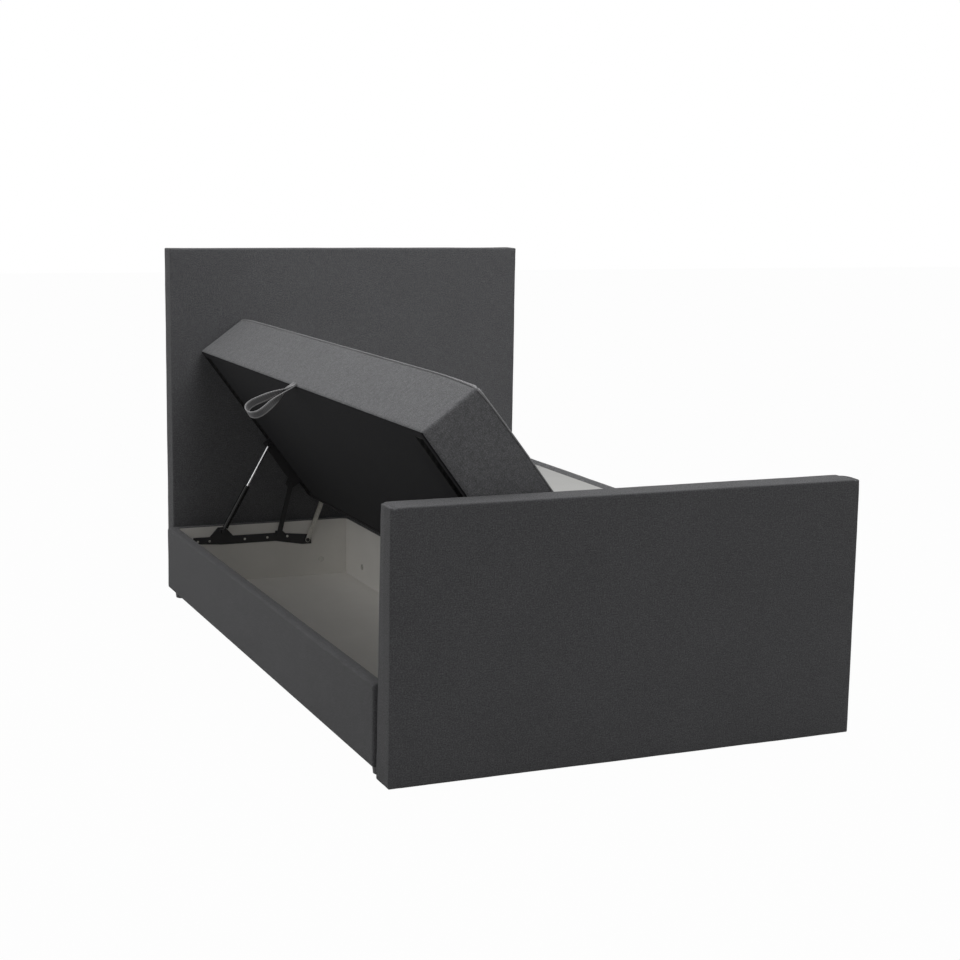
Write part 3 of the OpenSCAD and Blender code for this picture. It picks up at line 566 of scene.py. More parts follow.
zinc = plated_metal("zinc_plate", (0.5, 0.49, 0.46), (0.68, 0.67, 0.63), 0.3, 0.5, 160)
screw_metal = plated_metal("screw_metal", (0.58, 0.58, 0.56), (0.76, 0.76, 0.74), 0.2, 0.35, 400)
chrome = plated_metal("chrome_rod", (0.42, 0.42, 0.43), (0.52, 0.52, 0.53), 0.07, 0.14, 90)
black_steel = powder_coat()
gloss_black = gloss_paint()
print("metals:", zinc.name, screw_metal.name, chrome.name, black_steel.name, gloss_black.name)

# %% [markdown]
# ## Painting the rigid parts
#
# Each CAD node came with the name of its finish. A look-up from that name to the material above
# paints all of them in one loop, so no part can be forgotten. Three kinds of part are darker in
# the photograph than their finish says, so they are painted again. Nothing is moved or reshaped.

# %% Paint the CAD nodes
FINISHES = {
    "white_board": white_board,
    "grey_fabric": grey_cloth,
    "white_fabric": white_cloth,
    "black_fabric": black_lining,
    "webbing": webbing,
    "spring_pockets": pocket_cloth,
    "foam": foam,
    "timber": timber,
    "bare_steel": zinc,
    "screw_steel": screw_metal,
    "black_steel": black_steel,
    "chrome_rod": chrome,
    "black_plastic": black_plastic,
}

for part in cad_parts.values():
    for material_slot in part.material_slots:
        material_slot.material = FINISHES[material_slot.material.name.split(".")[0]]
DARK_PARTS = {"lid_frame": black_timber, "lid_plates": black_steel, "gas_cylinders": gloss_black}
for side in SIDES:
    for part_name, finish in DARK_PARTS.items():
        for material_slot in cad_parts[f"{side}_{part_name}"].material_slots:
            material_slot.material = finish
print("painted", len(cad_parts), "CAD nodes")

# %% [markdown]
# ## Floor
#
# The photograph has a plain white ground with hardly any shadow. The floor is a large sheet whose
# own colour is a mid grey, so that it doesn't throw too much light up at the bed. Camera rays see
# it nearly white, with a share of its shadow kept, so that the bed still stands on something.

# %% Floor that the camera sees as white
FLOOR_SIZE = 40
FLOOR_WHITE = 0.98

bpy.ops.object.select_all(action="DESELECT")
bpy.ops.mesh.primitive_plane_add(size=FLOOR_SIZE, location=(0, 0, 0))
floor = bpy.context.active_object
floor.name = "floor"
floor_paint = new_material("floor_paint", 0.9, Specular_IOR_Level=0.0)
floor_tone = fine_noise(floor_paint, "Object", 2, 3.0)
paint_by(floor_paint, floor_tone, "Fac", [(0.3, grey(0.42)), (0.7, grey(0.44))])
floor_glow = add_node(floor_paint, "ShaderNodeEmission", {"Color": (1, 1, 1, 1),
                                                          "Strength": 1.0})
floor_rays = add_node(floor_paint, "ShaderNodeLightPath")
seen = calculate(floor_paint, "MAXIMUM", floor_rays.outputs["Is Camera Ray"],
                 floor_rays.outputs["Is Glossy Ray"])
share = calculate(floor_paint, "MULTIPLY", seen.outputs[0], FLOOR_WHITE)
floor_mix = add_node(floor_paint, "ShaderNodeMixShader")
join(floor_paint, share, 0, floor_mix, "Fac")
join(floor_paint, shader_of(floor_paint), 0, floor_mix, 1)
join(floor_paint, floor_glow, 0, floor_mix, 2)
join(floor_paint, floor_mix, 0, floor_paint.node_tree.nodes["Material Output"], "Surface")
floor.data.materials.append(floor_paint)
print("floor of", FLOOR_SIZE, "m")

# %% [markdown]
# ## Modelling helpers
#
# All the padding starts as a plain block. Its edges are bevelled round, and it is cut across into
# cells of a few centimetres, so that the cloth has something to bend with. The helpers below do
# these steps with the same operators that a person would click.

# %% Selecting, blocks and rounded edges
EDGE_SEGMENTS = 4


def select_none():
    """Goes to object mode with nothing selected, as before a new piece is added."""
    if bpy.context.object and bpy.context.object.mode != "OBJECT":
        bpy.ops.object.mode_set(mode="OBJECT")
    bpy.ops.object.select_all(action="DESELECT")


def work_on(piece):
    """Makes the piece the only one selected, in object mode."""
    select_none()
    piece.select_set(True)
    bpy.context.view_layer.objects.active = piece


def edit_all(piece):
    work_on(piece)
    bpy.ops.object.mode_set(mode="EDIT")
    bpy.ops.mesh.select_all(action="SELECT")


def edit_faces(piece, wanted):
    """Opens edit mode with the faces selected whose centre and normal pass the test."""
    edit_all(piece)
    bpy.ops.mesh.select_mode(type="FACE")
    bpy.ops.mesh.select_all(action="DESELECT")
    bpy.ops.object.mode_set(mode="OBJECT")
    for face in piece.data.polygons:
        face.select = wanted(face.center, face.normal)
    bpy.ops.object.mode_set(mode="EDIT")


def leave_edit():
    bpy.ops.object.mode_set(mode="OBJECT")


def name_new(name):
    """Names the piece that was just added, and gives it back."""
    piece = bpy.context.active_object
    piece.name = name
    return piece


def settle():
    """Moves the active piece's place and size into its mesh."""
    bpy.ops.object.transform_apply(location=True, rotation=True, scale=True)


def add_block(name, low, high):
    """A plain block between two corners, with its place in its mesh."""
    select_none()
    middle = (Vector(low) + Vector(high)) / 2
    bpy.ops.mesh.primitive_cube_add(size=1, location=middle, scale=Vector(high) - Vector(low))
    block = name_new(name)
    settle()
    return block


def round_edges(piece, radius):
    edit_all(piece)
    bpy.ops.mesh.bevel(offset=radius, segments=EDGE_SEGMENTS, affect="EDGES")
    leave_edit()


print("selecting and block helpers are ready")

# %% Cuts, openings and thickness
NEAR = 4 * MM


def limited(value):
    """The value, kept between 0 and 1."""
    return min(max(value, 0), 1)


def steps_between(start, end, step):
    """Even places between two ends, without the ends."""
    count = max(1, round((end - start) / step))
    return [start + (end - start) * i / count for i in range(1, count)]


def cut_across(piece, axis, places):
    """Cuts the piece's faces at each place along an axis, and keeps both sides."""
    normal = Vector((0, 0, 0))
    normal[axis] = 1
    edit_all(piece)
    for place in places:
        bpy.ops.mesh.select_all(action="SELECT")
        bpy.ops.mesh.bisect(plane_co=normal * place, plane_no=normal)
    leave_edit()


def apply_modifier(piece, kind, **settings):
    work_on(piece)
    modifier = piece.modifiers.new(kind, kind)
    for setting, value in settings.items():
        setattr(modifier, setting, value)
    bpy.ops.object.modifier_apply(modifier=modifier.name)


def cell_cuts(start, end, step, edges=()):
    """Places of the cuts between two ends: even cells, and the edges of openings."""
    cells = [place for place in steps_between(start, end, step)
             if all(abs(place - edge) > NEAR for edge in edges)]
    return cells + [edge for edge in edges if start < edge < end]


def inside(point, low, high):
    """Whether a point lies between two corners, looked at from above."""
    return low[0] < point.x < high[0] and low[1] < point.y < high[1]


def open_up(piece, wanted):
    """Deletes the faces whose centre passes the test, which leaves an opening."""
    edit_faces(piece, lambda centre, normal: wanted(centre))
    bpy.ops.mesh.delete(type="FACE")
    leave_edit()


def divide(piece):
    """Divides every face in four and rounds it, but keeps the edges of openings."""
    apply_modifier(piece, "SUBSURF", levels=1, render_levels=1,
                   boundary_smooth="PRESERVE_CORNERS")


def fit_between(piece, low, high):
    """Stretches the piece very slightly, so that it just fills the room between two corners."""
    points = piece.data.vertices
    for axis in range(3):
        start = min(point.co[axis] for point in points)
        size = max(point.co[axis] for point in points) - start
        for point in points:
            share = (point.co[axis] - start) / size
            point.co[axis] = low[axis] + share * (high[axis] - low[axis])


def give_thickness(piece, thickness):
    """Makes a skin or a sheet solid, with its thickness on the inside or below."""
    apply_modifier(piece, "SOLIDIFY", thickness=thickness, offset=-1)
    face_outwards(piece)


def volume_of(piece):
    """Signed volume: negative where the faces of a closed piece point inwards."""
    total = 0.0
    piece.data.calc_loop_triangles()
    points = piece.data.vertices
    for triangle in piece.data.loop_triangles:
        a, b, c = (points[i].co for i in triangle.vertices)
        total += a.dot(b.cross(c)) / 6
    return total


def face_outwards(piece):
    if volume_of(piece) < 0:
        edit_all(piece)
        bpy.ops.mesh.flip_normals()
        leave_edit()


print("cutting helpers are ready")

# %% Cloth, shading and moving
def lay_cloth(piece, material):
    """Gives the piece a UV map in metres, square to its faces, and one cloth."""
    edit_all(piece)
    bpy.ops.uv.cube_project(cube_size=1.0, scale_to_bounds=False)
    leave_edit()
    piece.data.materials.clear()
    piece.data.materials.append(material)


def smooth_shade(piece, degrees=40):
    work_on(piece)
    bpy.ops.object.shade_smooth_by_angle(angle=math.radians(degrees))


def finish_skin(piece, thickness, material):
    """Turns a modelled skin into a solid cover of one cloth, smoothly shaded."""
    give_thickness(piece, thickness)
    lay_cloth(piece, material)
    smooth_shade(piece)


def move_mesh(piece, move):
    """Moves the piece's mesh by a matrix, and leaves its origin where it is."""
    piece.data.transform(move)
    piece.data.update()


def print_faces(piece):
    print(piece.name, len(piece.data.polygons), "faces")


print("cloth helpers are ready")

# %% [markdown]
# ## Padding by cloth simulation
#
# Padding under a cloth swells a little wherever nothing holds it. Blender's cloth with pressure
# inside does that: the block starts slightly too small, the places where the cover is stapled
# are held, gravity is off, and after twenty frames each point has moved out. The move is capped,
# so that a tight cover stays tight. A second helper then adds small hand-made unevenness, always
# inwards, so that the padding never reaches into its neighbours. Its noise starts from a number
# that belongs to the piece, so that no two pieces are uneven in the same way.

# %% Swelling and unevenness
PRESSURE = 4.0
FRAMES = 20
HELD_REACH = 45 * MM
SEEDS = {
    "headboard_padding": 1,
    "footboard_padding": 3,
    "left_box_padding": 11,
    "right_box_padding": 17,
    "left_lid_padding": 21,
    "right_lid_padding": 26,
    "left_lid_top_panel": 31,
    "right_lid_top_panel": 32,
    "left_lid_lining": 33,
    "right_lid_lining": 34,
    "headboard_lining": 41,
}


def swell(piece, held, cap):
    """Runs the cloth with pressure, applies it, and keeps each move within the cap."""
    before = [point.co.copy() for point in piece.data.vertices]
    group = piece.vertex_groups.new(name="held")
    group.add([point.index for point in piece.data.vertices if held(point.co)], 1.0, "REPLACE")
    work_on(piece)
    cloth = piece.modifiers.new("cover", "CLOTH")
    cloth.settings.use_pressure = True
    cloth.settings.uniform_pressure_force = PRESSURE
    cloth.settings.vertex_group_mass = "held"
    cloth.settings.effector_weights.gravity = 0
    cloth.settings.quality = 4
    cloth.point_cache.frame_start = 1
    cloth.point_cache.frame_end = FRAMES
    for moment in range(1, FRAMES + 1):
        bpy.context.scene.frame_set(moment)
    bpy.ops.object.modifier_apply(modifier=cloth.name)
    bpy.context.scene.frame_set(1)
    most = 0.0
    for point, start in zip(piece.data.vertices, before):
        move = point.co - start
        if not math.isfinite(move.length):
            move = Vector((0, 0, 0))
        if move.length > cap:
            move = move * (cap / move.length)
        point.co = start + move
        most = max(most, move.length)
    piece.vertex_groups.clear()
    return most


def press_unevenly(piece, waves, held_z=-1.0):
    """Presses each point in, along its normal, by layers of smooth noise, not at held_z."""
    for layer, (depth, size) in enumerate(waves):
        seed = SEEDS[piece.name] + layer
        shift = Vector((seed * 3.7, seed * 1.3, seed * 2.1))
        normals = [point.normal.copy() for point in piece.data.vertices]
        for point, normal in zip(piece.data.vertices, normals):
            share = 0.5 + 0.5 * noise.noise(point.co / size + shift)
            free = limited((point.co.z - held_z) / HELD_REACH)
            point.co -= normal * (depth * share * free)


# %% [markdown]
# ## Headboard
#
# The headboard is a timber frame with foam on its face, covered tightly in the grey cloth. The
# cloth with its foam is one rounded skin, open at the back where the black lining closes it. So
# the block is rounded, cut into cells, swollen, opened at the back, divided once more, fitted
# to its room again, and given its thickness towards the inside. In front, at the sides and above
# its room reaches two millimetres past the CAD solid, as cloth and foam do over a firm board.

# %% Headboard padding
EDGE_REACH = 32 * MM
EDGE_CELL = 5.4 * MM
BOARD_SKIN = 4 * MM
BOARD_RADIUS = 5 * MM
BOARD_PROUD = 2 * MM
BOARD_WAVES = ((1.2 * MM, 0.16), (0.5 * MM, 0.035))
BOARD_FACE_REACH = 5 * MM
HEAD_CELLS = (34 * MM, 12 * MM, 34 * MM)
START_IN = 2 * MM


def board_cuts(start, end, step, edges):
    """Fine cells near the ends, where the padding curves, and wide ones between them."""
    if end - start < 3 * EDGE_REACH:
        return cell_cuts(start, end, step, edges)
    inner_start = start + EDGE_REACH
    inner_end = end - EDGE_REACH
    places = cell_cuts(start, inner_start, EDGE_CELL, edges)
    places += cell_cuts(inner_start, inner_end, step, edges) + [inner_start, inner_end]
    return places + cell_cuts(inner_end, end, EDGE_CELL, edges)


def padded_board(name, low, high, steps, edges, opening):
    """A rounded, swollen, slightly uneven skin that fills the room between two corners."""
    inset = Vector((START_IN, START_IN, START_IN))
    board = add_block(name, low + inset, high - inset)
    round_edges(board, BOARD_RADIUS)
    for axis in (0, 1, 2):
        start = low[axis] + START_IN + BOARD_RADIUS
        end = high[axis] - START_IN - BOARD_RADIUS
        cut_across(board, axis, board_cuts(start, end, steps[axis], edges[axis]))
    most = swell(board, opening, START_IN)
    open_up(board, opening)
    divide(board)
    press_unevenly(board, BOARD_WAVES)
    fit_between(board, low, high)
    print("swollen by", round(most / MM, 1), "mm")
    return board


head_low, head_high = corners("headboard_cover")
back_low, back_high = corners("headboard_back")


def at_headboard_back(co):
    """Whether a place on the headboard's skin is where the lining closes it."""
    return (co.y > head_high.y - BOARD_FACE_REACH and back_low.x < co.x < back_high.x
            and back_low.z < co.z < back_high.z)


headboard = padded_board(
    "headboard_padding", head_low - Vector((BOARD_PROUD, BOARD_PROUD, 0)),
    head_high + Vector((BOARD_PROUD, 0, BOARD_PROUD)), HEAD_CELLS,
    ((back_low.x, back_high.x), (), (back_low.z, back_high.z)), at_headboard_back)
finish_skin(headboard, BOARD_SKIN, grey_cloth)
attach(headboard, "bed")
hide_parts("headboard_cover", "headboard_foam")
print_faces(headboard)

# %% [markdown]
# ## Footboard
#
# The footboard is made the same way, thicker and lower. In the photograph its top corners are
# drawn in with small puckers, where the cloth of three faces meets. No simulation places such
# puckers where they are wanted, so the points near each corner are moved in code: towards the
# inside, in a fan of folds that fades with distance. The back upright edges lean in a little.

# %% Footboard padding
PUCKER_REACH = 45 * MM
PUCKER_DEPTH = 2 * MM
PUCKER_FOLDS = 7
FOOT_CELLS = (32 * MM, 10 * MM, 32 * MM)
FOLD_IN = 10 * MM
FOLD_REACH = 25 * MM
FOLD_WIDTH = 3.6 * MM
FOLD_DEPTH = 3.6 * MM
LEAN_IN = 8 * MM
LEAN_REACH = 45 * MM


def draw_in_corner(piece, corner, inwards, reach, depth, held_z=-1.0):
    """Pulls the padding in at a corner, with folds that fan out from it, but not at held_z."""
    axis = Vector(inwards).normalized()
    for point in piece.data.vertices:
        away = point.co - corner
        distance = away.length
        if distance < reach:
            free = limited((point.co.z - held_z) / (corner.z - held_z))
            fade = free * (1 - distance / reach) ** 2
            angle = math.atan2(away.z, away.x) + 0.6 * math.atan2(away.y, away.x)
            fold = 0.5 + 0.5 * math.cos(PUCKER_FOLDS * angle)
            point.co += axis * (depth * fade * (0.55 + 0.45 * fold))


def fold_over(piece, crease_x, top_z):
    """Presses a crease across the top, where the cloth of the side is folded under."""
    for point in piece.data.vertices:
        away = (point.co.x - crease_x) / FOLD_WIDTH
        if point.co.z > top_z - FOLD_REACH and abs(away) < 3:
            point.co.z -= FOLD_DEPTH * math.exp(-away * away)


def lean_back_edge(piece, side_x, inwards):
    """Pulls a back upright edge in, more and more towards the top."""
    for point in piece.data.vertices:
        beside = 1 - abs(point.co.x - side_x) / LEAN_REACH
        behind = 1 - (foot_high.y - point.co.y) / LEAN_REACH
        if beside > 0 and behind > 0:
            height = point.co.z / foot_high.z
            point.co.x += inwards * LEAN_IN * beside * behind * height


foot_low, foot_high = corners("footboard_cover")
board_low, board_high = corners("footboard_boards")


def under_footboard(co):
    """Whether a place on the footboard's skin is under its boards, where it is open."""
    return co.z < foot_low.z + BOARD_FACE_REACH and inside(co, board_low, board_high)


footboard = padded_board(
    "footboard_padding", foot_low - Vector((BOARD_PROUD, BOARD_PROUD, BOARD_PROUD)),
    foot_high + Vector((BOARD_PROUD, 0, BOARD_PROUD)), FOOT_CELLS,
    ((board_low.x, board_high.x), (board_low.y, board_high.y), ()), under_footboard)
for side_x, in_x in ((foot_low.x, 1), (foot_high.x, -1)):
    for side_y, in_y in ((foot_low.y, 1), (foot_high.y, -1)):
        draw_in_corner(footboard, Vector((side_x, side_y, foot_high.z)), (in_x, in_y, -1),
                       PUCKER_REACH, PUCKER_DEPTH)
    lean_back_edge(footboard, side_x, in_x)
    fold_over(footboard, side_x + in_x * FOLD_IN, foot_high.z)
finish_skin(footboard, BOARD_SKIN, grey_cloth)
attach(footboard, "bed")
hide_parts("footboard_cover", "footboard_foam")
print_faces(footboard)

# %% [markdown]
# ## Box covers
#
# Each storage box is wrapped in a thinly padded cover that turns over the rim and under the
# bottom. The cover is the skin of a rounded block, opened at the top and at the bottom. The
# outer edge of the rim is slightly wavy, because the cloth is pulled over it by hand, so its
# points are lowered by slow noise. The cover is thin and tight, so no simulation is needed.

# %% Box covers
RIM_SINK = 4.5 * MM
RIM_REACH = 26 * MM
BOX_SKIN = 1.6 * MM
BOX_EDGE = 7 * MM
BOX_INNER_EDGE = 1.5 * MM
BOX_CELL = 20 * MM
BOX_WAVES = ((1.2 * MM, 0.09),)
BOX_FACE_REACH = 1 * MM


def sink_rim(piece, outer_x, pad, top):
    """Lowers the outer edge of the rim by slow noise along the box."""
    seed = SEEDS[piece.name]
    for point in piece.data.vertices:
        beyond = 1 - abs(point.co.x - outer_x) / pad
        if point.co.z > top - RIM_REACH and beyond > 0:
            slow = noise.noise(Vector((point.co.x * 9, point.co.y * 9, seed)))
            quick = noise.noise(Vector((point.co.x * 26, point.co.y * 26, seed + 5)))
            share = (point.co.z - top + RIM_REACH) / RIM_REACH * min(1, 2 * beyond)
            point.co.z -= RIM_SINK * share * (0.5 + 0.45 * slow + 0.45 * quick)


def box_cover(side):
    cover_low, cover_high = corners(f"{side}_box_cover")
    floor_low, floor_high = corners(f"{side}_box_floor")
    walls = sorted([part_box(f"{side}_box_side"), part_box(f"{side}_box_inner_wall")],
                   key=lambda part: part[0][0])
    mouth_low = Vector((walls[0][1][0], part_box(f"{side}_box_foot_wall")[1][1]))
    mouth_high = Vector((walls[1][0][0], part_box(f"{side}_box_head_wall")[0][1]))
    spare = Vector((BOX_EDGE - BOX_INNER_EDGE, 0, 0))
    is_left = side == "left"
    start = cover_low if is_left else cover_low - spare
    end = cover_high + spare if is_left else cover_high
    cover = add_block(f"{side}_box_padding", start, end)
    round_edges(cover, BOX_EDGE)
    edges = ((mouth_low.x, mouth_high.x, floor_low.x, floor_high.x),
             (mouth_low.y, mouth_high.y, floor_low.y, floor_high.y), ())
    for axis in (0, 1, 2):
        cut_across(cover, axis, cell_cuts(start[axis] + BOX_EDGE, end[axis] - BOX_EDGE,
                                          BOX_CELL, edges[axis]))

    def is_open(co):
        above = co.z > cover_high.z - BOX_FACE_REACH and inside(co, mouth_low, mouth_high)
        below = co.z < cover_low.z + BOX_FACE_REACH and inside(co, floor_low, floor_high)
        return above or below

    open_up(cover, is_open)
    divide(cover)
    press_unevenly(cover, BOX_WAVES, cover_low.z)
    fit_between(cover, start, end)
    outer_x = cover_low.x if is_left else cover_high.x
    pad = abs(outer_x - (floor_low.x if is_left else floor_high.x))
    sink_rim(cover, outer_x, pad, cover_high.z)
    for point in cover.data.vertices:
        point.co.x = min(max(point.co.x, cover_low.x), cover_high.x)
    finish_skin(cover, BOX_SKIN, grey_cloth)
    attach(cover, "bed")
    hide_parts(f"{side}_box_cover")
    print_faces(cover)


for side in SIDES:
    box_cover(side)

# %% [markdown]
# ## Lids
#
# A lid is a deep upholstered cushion round a timber frame: foam at its sides, a spring unit inside
# and a layer of foam over it. The cloth with its foam is one skin, open above for the white
# panel, below for the mouth between the hems, and at the arms. Its top corners sag, its border
# rises in a low roll, and its underside is lined in black up to the edge. Both lids are modelled
# closed, on the right. The left one is mirrored, then turned open about its line.

# %% Turning a piece to the open lid
def mirror_across(piece):
    """Mirrors the piece from the right side of the bed to the left."""
    edit_all(piece)
    bpy.ops.transform.resize(value=(-1, 1, 1), center_override=(0, 0, 0))
    leave_edit()
    face_outwards(piece)


def turn_open(piece):
    """Turns the piece with the left lid, from closed to open."""
    move = (Matrix.Translation(TURN_LINE) @ Matrix.Rotation(OPEN_ANGLE, 4, "Y")
            @ Matrix.Translation(-TURN_LINE))
    move_mesh(piece, move)


def place_on_lid(piece, side):
    if side == "left":
        mirror_across(piece)
        turn_open(piece)
    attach(piece, f"{side}_lid")


print("opening turn:", round(math.degrees(OPEN_ANGLE), 1), "degrees")

# %% Lid padding
LID_EDGE = 9 * MM
LID_SKIN = 1.6 * MM
LID_INSET = 0.5 * MM
LID_CELL = 24 * MM
LID_WAVES = ((1.2 * MM, 0.12), (0.5 * MM, 0.03))
LID_FACE_REACH = 2 * MM
BORDER_RISE = {"left": 2 * MM, "right": 12 * MM}
BORDER_REACH = 33 * MM
PANEL_LAP = 4 * MM
SAGS = {
    "outer_head": {"reach": 130 * MM, "depth": 15 * MM},
    "outer_foot": {"reach": 320 * MM, "depth": 13 * MM},
    "inner": {"reach": 65 * MM, "depth": 3 * MM},
}
HEM_HIGH = 4 * MM
HEM_IN = 3 * MM
SLOT_BACK = 14 * MM
SLOT_WIDE = 18 * MM
SLOT_ABOVE = 4 * MM

spring_low, spring_high = corners("right_lid_springs")
top_low, top_high = corners("right_lid_top")
under_low, under_high = corners("right_lid_underside")
plates_low, plates_high = corners("right_lid_plates")
box_wall_y = Vector(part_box("right_box_head_wall")[0]).y
slot_x = 2 * under_low.x - lid_low.x - SLOT_BACK
slot_y = box_wall_y - SLOT_WIDE
arm_high = plates_high.z + SLOT_ABOVE
mouth_low = Vector((under_low.x, plates_low.y))
mouth_high = Vector((under_high.x, plates_high.y))
lap = Vector((PANEL_LAP, PANEL_LAP, 0))


def in_lid_opening(co):
    """Whether a place on the closed lid's skin is open: panel, mouth or arm slots."""
    above = co.z > lid_high.z - LID_FACE_REACH and inside(co, top_low + lap, top_high - lap)
    below = co.z < lid_low.z + LID_FACE_REACH and inside(co, mouth_low, mouth_high)
    along = abs(co.y - middle_y) + middle_y
    at_arm = co.x < slot_x and slot_y < along < box_wall_y and co.z < arm_high
    return above or below or at_arm


def in_from_side(co):
    """How far a place is from the nearest side of the closed lid, looked at from above."""
    return min(co.x - lid_low.x, lid_high.x - co.x, co.y - lid_low.y, lid_high.y - co.y)


def raise_border(piece, rise):
    """Raises the border into a low roll between the lid's edge and the white panel."""
    for point in piece.data.vertices:
        if point.co.z > lid_high.z - LID_EDGE:
            share = limited(in_from_side(point.co) / BORDER_REACH)
            point.co.z += rise * math.sin(math.pi * share)


def sag_corners(piece):
    """Lets the top corners sag: most at the outer head corner, least at the inner ones."""
    for y, outer in ((lid_low.y, SAGS["outer_foot"]), (lid_high.y, SAGS["outer_head"])):
        for x, sag in ((lid_high.x, outer), (lid_low.x, SAGS["inner"])):
            draw_in_corner(piece, Vector((x, y, lid_high.z)), (0, 0, -1), **sag,
                           held_z=lid_low.z)


def line_hem(padding):
    """Gives the underside of the closed lid's skin the black lining, up to its edge."""
    padding.data.materials.append(black_lining)
    for face in padding.data.polygons:
        if face.center.z < lid_low.z + HEM_HIGH and in_from_side(face.center) > HEM_IN:
            face.material_index = 1


def lid_padding(side):
    inset = Vector((LID_INSET, LID_INSET, LID_INSET))
    low = lid_low + inset
    high = lid_high - inset
    padding = add_block(f"{side}_lid_padding", low, high)
    round_edges(padding, LID_EDGE)
    foot_side = 2 * middle_y
    edges = ((mouth_low.x, mouth_high.x, slot_x, top_low.x + PANEL_LAP, top_high.x - PANEL_LAP),
             (mouth_low.y, mouth_high.y, slot_y, box_wall_y, foot_side - slot_y,
              foot_side - box_wall_y, top_low.y + PANEL_LAP, top_high.y - PANEL_LAP),
             (arm_high,))
    for axis in (0, 1, 2):
        cut_across(padding, axis, cell_cuts(low[axis] + LID_EDGE, high[axis] - LID_EDGE,
                                            LID_CELL, edges[axis]))
    most = swell(padding, lambda co: co.z < low.z + LID_FACE_REACH, LID_INSET)
    open_up(padding, in_lid_opening)
    divide(padding)
    press_unevenly(padding, LID_WAVES, lid_low.z)
    fit_between(padding, lid_low, lid_high)
    raise_border(padding, BORDER_RISE[side])
    sag_corners(padding)
    give_thickness(padding, LID_SKIN)
    # The lid's cloth is the grey cloth painted lighter, as painted light on the lids.
    lay_cloth(padding, lid_cloth)
    line_hem(padding)
    smooth_shade(padding)
    place_on_lid(padding, side)
    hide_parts(f"{side}_lid_cover", f"{side}_lid_foam")
    print_faces(padding)
    print("swollen by", round(most / MM, 1), "mm")


for side in SIDES:
    lid_padding(side)

# %% [markdown]
# ## Seam welt round each lid
#
# A thin light line runs round the top edge of a lid, where the side strip is sewn to the border
# and the edge catches the light. Its light grey is a painted highlight on the welt's cloth.
# It is a welt: a narrow strip folded over a cord. Its path is the lid's outline, so a plane is
# rounded at its corners, made a curve, given a small round section and made a mesh again. On the
# inner side it lies further in, so that the two lids' welts stay apart when both are open.

# %% Welts
WELT_RADIUS = 2.1 * MM
WELT_IN = 2 * MM
WELT_INNER = 5 * MM
WELT_CORNER = 12 * MM
WELT_CELL = 20 * MM
SAME_PLACE = 0.01 * MM


def outline_tube(name, low, high, height):
    """A thin tube round a rectangle with rounded corners, at one height."""
    select_none()
    bpy.ops.mesh.primitive_plane_add(
        size=1, location=((low.x + high.x) / 2, (low.y + high.y) / 2, height))
    tube = name_new(name)
    bpy.ops.object.mode_set(mode="EDIT")
    bpy.ops.transform.resize(value=(high.x - low.x, high.y - low.y, 1))
    bpy.ops.mesh.bevel(offset=WELT_CORNER, segments=6, affect="VERTICES")
    bpy.ops.mesh.delete(type="ONLY_FACE")
    bpy.ops.object.mode_set(mode="OBJECT")
    settle()
    for axis in (0, 1):
        cut_across(tube, axis, steps_between(low[axis] + WELT_CORNER, high[axis] - WELT_CORNER,
                                             WELT_CELL))
    work_on(tube)
    bpy.ops.object.convert(target="CURVE")
    tube.data.bevel_depth = WELT_RADIUS
    tube.data.bevel_resolution = 2
    bpy.ops.object.convert(target="MESH")
    tube = bpy.context.active_object
    settle()
    edit_all(tube)
    bpy.ops.mesh.remove_doubles(threshold=SAME_PLACE)
    leave_edit()
    face_outwards(tube)
    # Its light grey is a painted highlight along the lid's top edge.
    lay_cloth(tube, welt_cloth)
    smooth_shade(tube, degrees=80)
    return tube


def lid_welt(side):
    low = lid_low + Vector((WELT_INNER, WELT_IN, 0))
    high = lid_high - Vector((WELT_IN, WELT_IN, 0))
    welt = outline_tube(f"{side}_lid_welt", low, high, lid_high.z - WELT_IN)
    sag_corners(welt)
    place_on_lid(welt, side)
    print_faces(welt)


for side in SIDES:
    lid_welt(side)

# %% [markdown]
# ## White top and black underside
#
# The top of a lid is a white non-slip panel inside the grey border, and the underside is closed by
# a thin black lining that sags a little between the rails. Both are flat sheets held tight at
# their edges, so each is a grid that is moved a few millimetres and then given its thickness.
# The white panel then follows the sagging corners of the padding round it.

# %% Stretched panels
TOP_LIFT = 0.8 * MM
TOP_CROWN = 2.5 * MM
TOP_THICK = 1.4 * MM
LINING_DROP = 0.4 * MM
LINING_CROWN = -3 * MM
LINING_THICK = 0.8 * MM


def stretched_panel(name, low, high, height, crown, thickness, material):
    """A sheet between two corners, bulged by crown at its middle, with rounded edges."""
    select_none()
    bpy.ops.mesh.primitive_grid_add(
        x_subdivisions=30, y_subdivisions=80, size=1,
        location=((low.x + high.x) / 2, (low.y + high.y) / 2, height))
    panel = name_new(name)
    bpy.ops.object.mode_set(mode="EDIT")
    bpy.ops.transform.resize(value=(high.x - low.x, high.y - low.y, 1))
    bpy.ops.object.mode_set(mode="OBJECT")
    settle()
    for point in panel.data.vertices:
        u = (point.co.x - low.x) / (high.x - low.x)
        v = (point.co.y - low.y) / (high.y - low.y)
        edge = min(1.0, 8 * min(u, 1 - u)) * min(1.0, 24 * min(v, 1 - v))
        ripple = 0.5 + 0.5 * noise.noise(Vector((u * 4, v * 13, SEEDS[name])))
        point.co.z += crown * edge * (0.7 + 0.3 * ripple)
    finish_skin(panel, thickness, material)
    return panel


def lid_top(side):
    panel = stretched_panel(f"{side}_lid_top_panel", top_low, top_high, top_high.z + TOP_LIFT,
                            TOP_CROWN, TOP_THICK, white_cloth)
    sag_corners(panel)
    place_on_lid(panel, side)
    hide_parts(f"{side}_lid_top")
    print_faces(panel)


